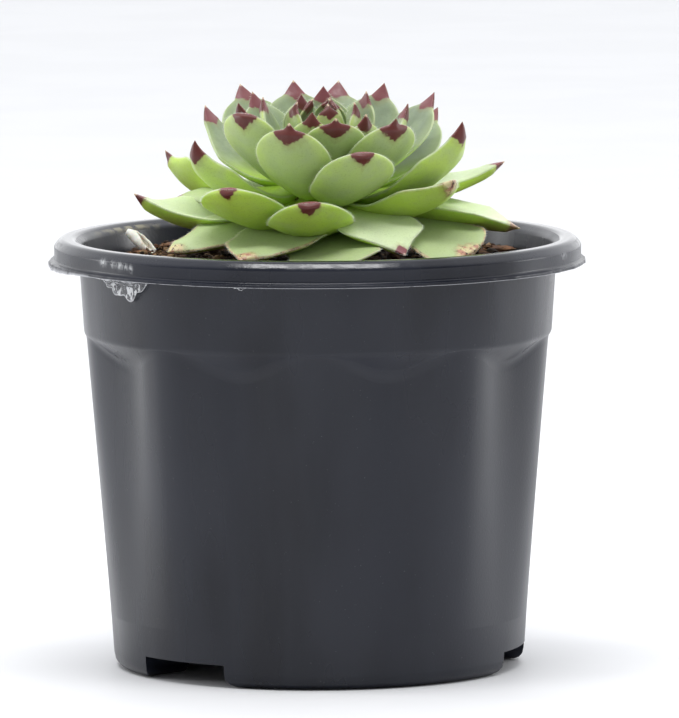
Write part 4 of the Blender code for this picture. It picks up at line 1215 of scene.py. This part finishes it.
# %% Make the husk
husk_finish, shader = two_tone(
    "dry_husk", 0.7, 0.35, (0.86, 0.84, 0.77), (0.64, 0.56, 0.44),
    dict(size=0.8, detail=4.0, drawn_out=(1.0, 1.0, 3.0), low=0.52, high=0.70), depth_mm=0.2,
)
shader.inputs["Subsurface Weight"].default_value = 0.15
shader.inputs["Subsurface Scale"].default_value = 0.0008
HUSK_LINE = [(-31.5, 9.5, 0.0), (-33.3, 11.5, 0.9), (-34.6, 13.4, 2.6), (-36.4, 14.2, 3.2)]
HUSK_ROWS, HUSK_COLUMNS, HUSK_RADIUS, HUSK_SKIN = 28, 22, 1.10 * MM, 0.40 * MM
husk_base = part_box("husk_pale")[0].z + 0.8 * MM
husk_line = [Vector((x * MM, y * MM, husk_base + z * MM)) for x, y, z in HUSK_LINE]
half_ring = HUSK_COLUMNS // 2
husk_points = []
for row in range(HUSK_ROWS):
    share = row / (HUSK_ROWS - 1)
    spot = cubic(*husk_line, share)
    ahead = cubic(*husk_line, min(1.0, share + 0.02)) - cubic(*husk_line, max(0.0, share - 0.02))
    ahead.normalize()
    side = ahead.cross(UP).normalized()
    up = side.cross(ahead).normalized()
    open_by = 1.9 + 1.5 * share
    width = HUSK_RADIUS * (0.55 + 0.6 * math.sin(math.pi * min(1.0, 0.15 + 0.8 * share)))
    for skin, order in ((1.0, 1), (1.0 - HUSK_SKIN / HUSK_RADIUS, -1)):
        for column in range(half_ring)[::order]:
            turn = -open_by + 2.0 * open_by * column / (half_ring - 1)
            ragged_edge = 1.0 + 0.12 * roughness_at((turn, share * 6.0, 1.0), 1.0)
            around_it = side * math.sin(turn) - up * math.cos(turn)
            husk_points.append(spot + around_it * width * skin * ragged_edge)
husk_faces = grid_quads(HUSK_ROWS, HUSK_COLUMNS) + end_caps(HUSK_ROWS, HUSK_COLUMNS)
husk_shell = make_piece("husk_shell", husk_points, husk_faces, husk_finish)
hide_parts("husk_pale")

# %% [markdown]
# ## Torn film under the lip
#
# The pot came in clear wrap, and torn film still clings under the lip at the left: one shred shaped
# like a triangle and one small strip. Each is a thin crumpled sheet that hangs on the wall. It is
# mostly clear, with white creases and a white hem along the tear, so the same patches and a number
# on the points set how much of it shows.

# %% Hang the film
film_finish, tree, shader = new_finish("clear_film", 0.25, 0.6)
creases = patches(tree, 0.9, 5.0, (1.0, 1.0, 2.2), 0.52, 0.58)
paint(tree, shader, mix_colour(
    tree, creases.outputs["Mask"], (0.62, 0.63, 0.65), (0.90, 0.91, 0.93)
))
white = calculate(tree, "MAXIMUM", creases.outputs["Mask"], layer(tree, "hem"))
tree.links.new(calculate(tree, "MULTIPLY_ADD", white, 0.5, 0.12), shader.inputs["Alpha"])
grain(tree, shader, creases.outputs["Height"], 0.6)
FILM_ROWS, FILM_COLUMNS, FILM_SKIN, HEM_ROWS = 20, 64, 0.06 * MM, 2
FILM_PEAK, FILM_TOP_RADIUS, FILM_GAP, CRUMPLE = 0.68, 49.9 * MM, 0.25 * MM, 0.35 * MM
BAND_SLOPE = 0.074


def hang_film(name, start_azimuth, end_azimuth, drop, salt):
    """A torn strip from the underside of the lip down the band, thin but closed."""
    points, hem = [], []
    last_row, last_column = FILM_ROWS - 1, FILM_COLUMNS - 1
    for skin in (0.0, FILM_SKIN):
        for row in range(FILM_ROWS):
            down = row / last_row
            tuck = ease(down * 2.2)
            for column in range(FILM_COLUMNS):
                along = column / last_column
                azimuth = math.radians(start_azimuth + (end_azimuth - start_azimuth) * along)
                tear = min(along / FILM_PEAK, (1.0 - along) / (1.0 - FILM_PEAK)) ** 1.15 + 0.04
                tear *= 1.0 + 0.5 * roughness_at((along * 9.0, salt, 0.0), 1.0)
                height = LIP_BOTTOM - drop * down * min(1.0, tear)
                wall = BAND_TOP_RADIUS - BAND_SLOPE * max(0.0, BAND_TOP - height)
                radius = FILM_TOP_RADIUS * (1.0 - tuck) + (wall + FILM_GAP) * tuck
                crumple = CRUMPLE * (1.0 + roughness_at((along * 16.0, down * 5.0, salt), 1.0))
                flat = outward_at(azimuth) * (radius + crumple * (0.2 + 0.8 * down) + skin)
                points.append(flat + UP * height)
                hem.append(1.0 if row >= FILM_ROWS - HEM_ROWS else 0.0)
    count = FILM_ROWS * FILM_COLUMNS
    faces = grid_quads(FILM_ROWS, FILM_COLUMNS, 0, wrap=False)
    faces += grid_quads(FILM_ROWS, FILM_COLUMNS, count, wrap=False)
    border = list(range(FILM_COLUMNS))
    border += [row * FILM_COLUMNS + last_column for row in range(1, FILM_ROWS)]
    border += [last_row * FILM_COLUMNS + column for column in range(last_column)[::-1]]
    border += [row * FILM_COLUMNS for row in range(1, last_row)[::-1]]
    for here, there in zip(border, border[1:] + border[:1]):
        faces.append((here, there, count + there, count + here))
    film = make_piece(name, points, faces, film_finish, {"hem": hem})


hang_film("film_shred", -66.0, -43.0, 5.2 * MM, 1.3)
hang_film("film_shred_small", -23.0, -15.5, 1.0 * MM, 4.1)

# %% [markdown]
# ## The studio
#
# The object stands on a plain white floor that runs out of view all round, so it is also the
# background. The room is white, bright behind and above and dimmer in front, which is why the
# front of the pot stays dark while its sides shine. One soft lamp hangs overhead and two small
# ones stand at the sides.

# %% Floor and room
FLOOR_HALF = 15.0
floor_finish, shader = two_tone(
    "white_floor", 0.6, 0.2, (0.80, 0.805, 0.82), (0.815, 0.82, 0.835), dict(size=60.0)
)
floor_mesh = bpy.data.meshes.new("studio_floor")
corners = [(x * FLOOR_HALF, y * FLOOR_HALF, 0.0) for x, y in ((-1, -1), (1, -1), (1, 1), (-1, 1))]
floor_mesh.from_pydata(corners, [], [(0, 1, 2, 3)])
floor_mesh.materials.append(floor_finish)
studio_floor = bpy.data.objects.new("studio_floor", floor_mesh)
scene.collection.objects.link(studio_floor)
studio_floor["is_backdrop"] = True

FRONT_STRENGTH, BACK_STRENGTH = 0.39, 1.50
room = bpy.data.worlds.new("white_room")
room.use_nodes = True
scene.world = room
tree = room.node_tree
direction = add_node(tree, "ShaderNodeTexCoord").outputs["Generated"]
split = add_node(tree, "ShaderNodeSeparateXYZ", {0: direction}).outputs
behind_and_above = calculate(tree, "MULTIPLY_ADD", split["Z"], 0.65, split["Y"])
room_strength = step_between(tree, behind_and_above, -0.1, 0.8, FRONT_STRENGTH, BACK_STRENGTH)
background = tree.nodes["Background"]
background.inputs["Color"].default_value = (0.97, 0.98, 1.0, 1.0)
tree.links.new(room_strength, background.inputs["Strength"])
print("room strength:", FRONT_STRENGTH, "in front,", BACK_STRENGTH, "behind")

# %% Soft lights
# Each lamp is its place and target in metres, its width and height in metres and its power
LIGHTS = {
    "overhead": ((-0.02, -0.26, 1.20), (0.0, 0.0, 0.08), 0.80, 0.24, 8.2),
    "left_side": ((-1.05, 0.26, 0.24), (0.0, 0.0, 0.05), 0.18, 0.34, 2.6),
    "right_side": ((1.10, 0.32, 0.24), (0.0, 0.0, 0.05), 0.15, 0.34, 2.2),
}
for name, (spot, target, width, height, power) in LIGHTS.items():
    lamp = bpy.data.lights.new(name, "AREA")
    lamp.shape = "RECTANGLE"
    lamp.size, lamp.size_y, lamp.energy = width, height, power
    holder = bpy.data.objects.new(name, lamp)
    scene.collection.objects.link(holder)
    holder.location = spot
    holder.rotation_euler = (Vector(target) - Vector(spot)).to_track_quat("-Z", "Y").to_euler()
scene.view_settings.view_transform = "Standard"
print("lights:", list(LIGHTS))

# %% [markdown]
# ## Sizes and the end
#
# The CAD model's box and the dressed model's box are measured and printed.

# %% Print the sizes and finish
look_low, look_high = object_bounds()
sizes = {
    "cad": [list(cad_low), list(cad_high)],
    "visual": [list(look_low), list(look_high)],
}
for key, (low, high) in sizes.items():
    print(key, [round((b - a) / MM, 1) for a, b in zip(low, high)])
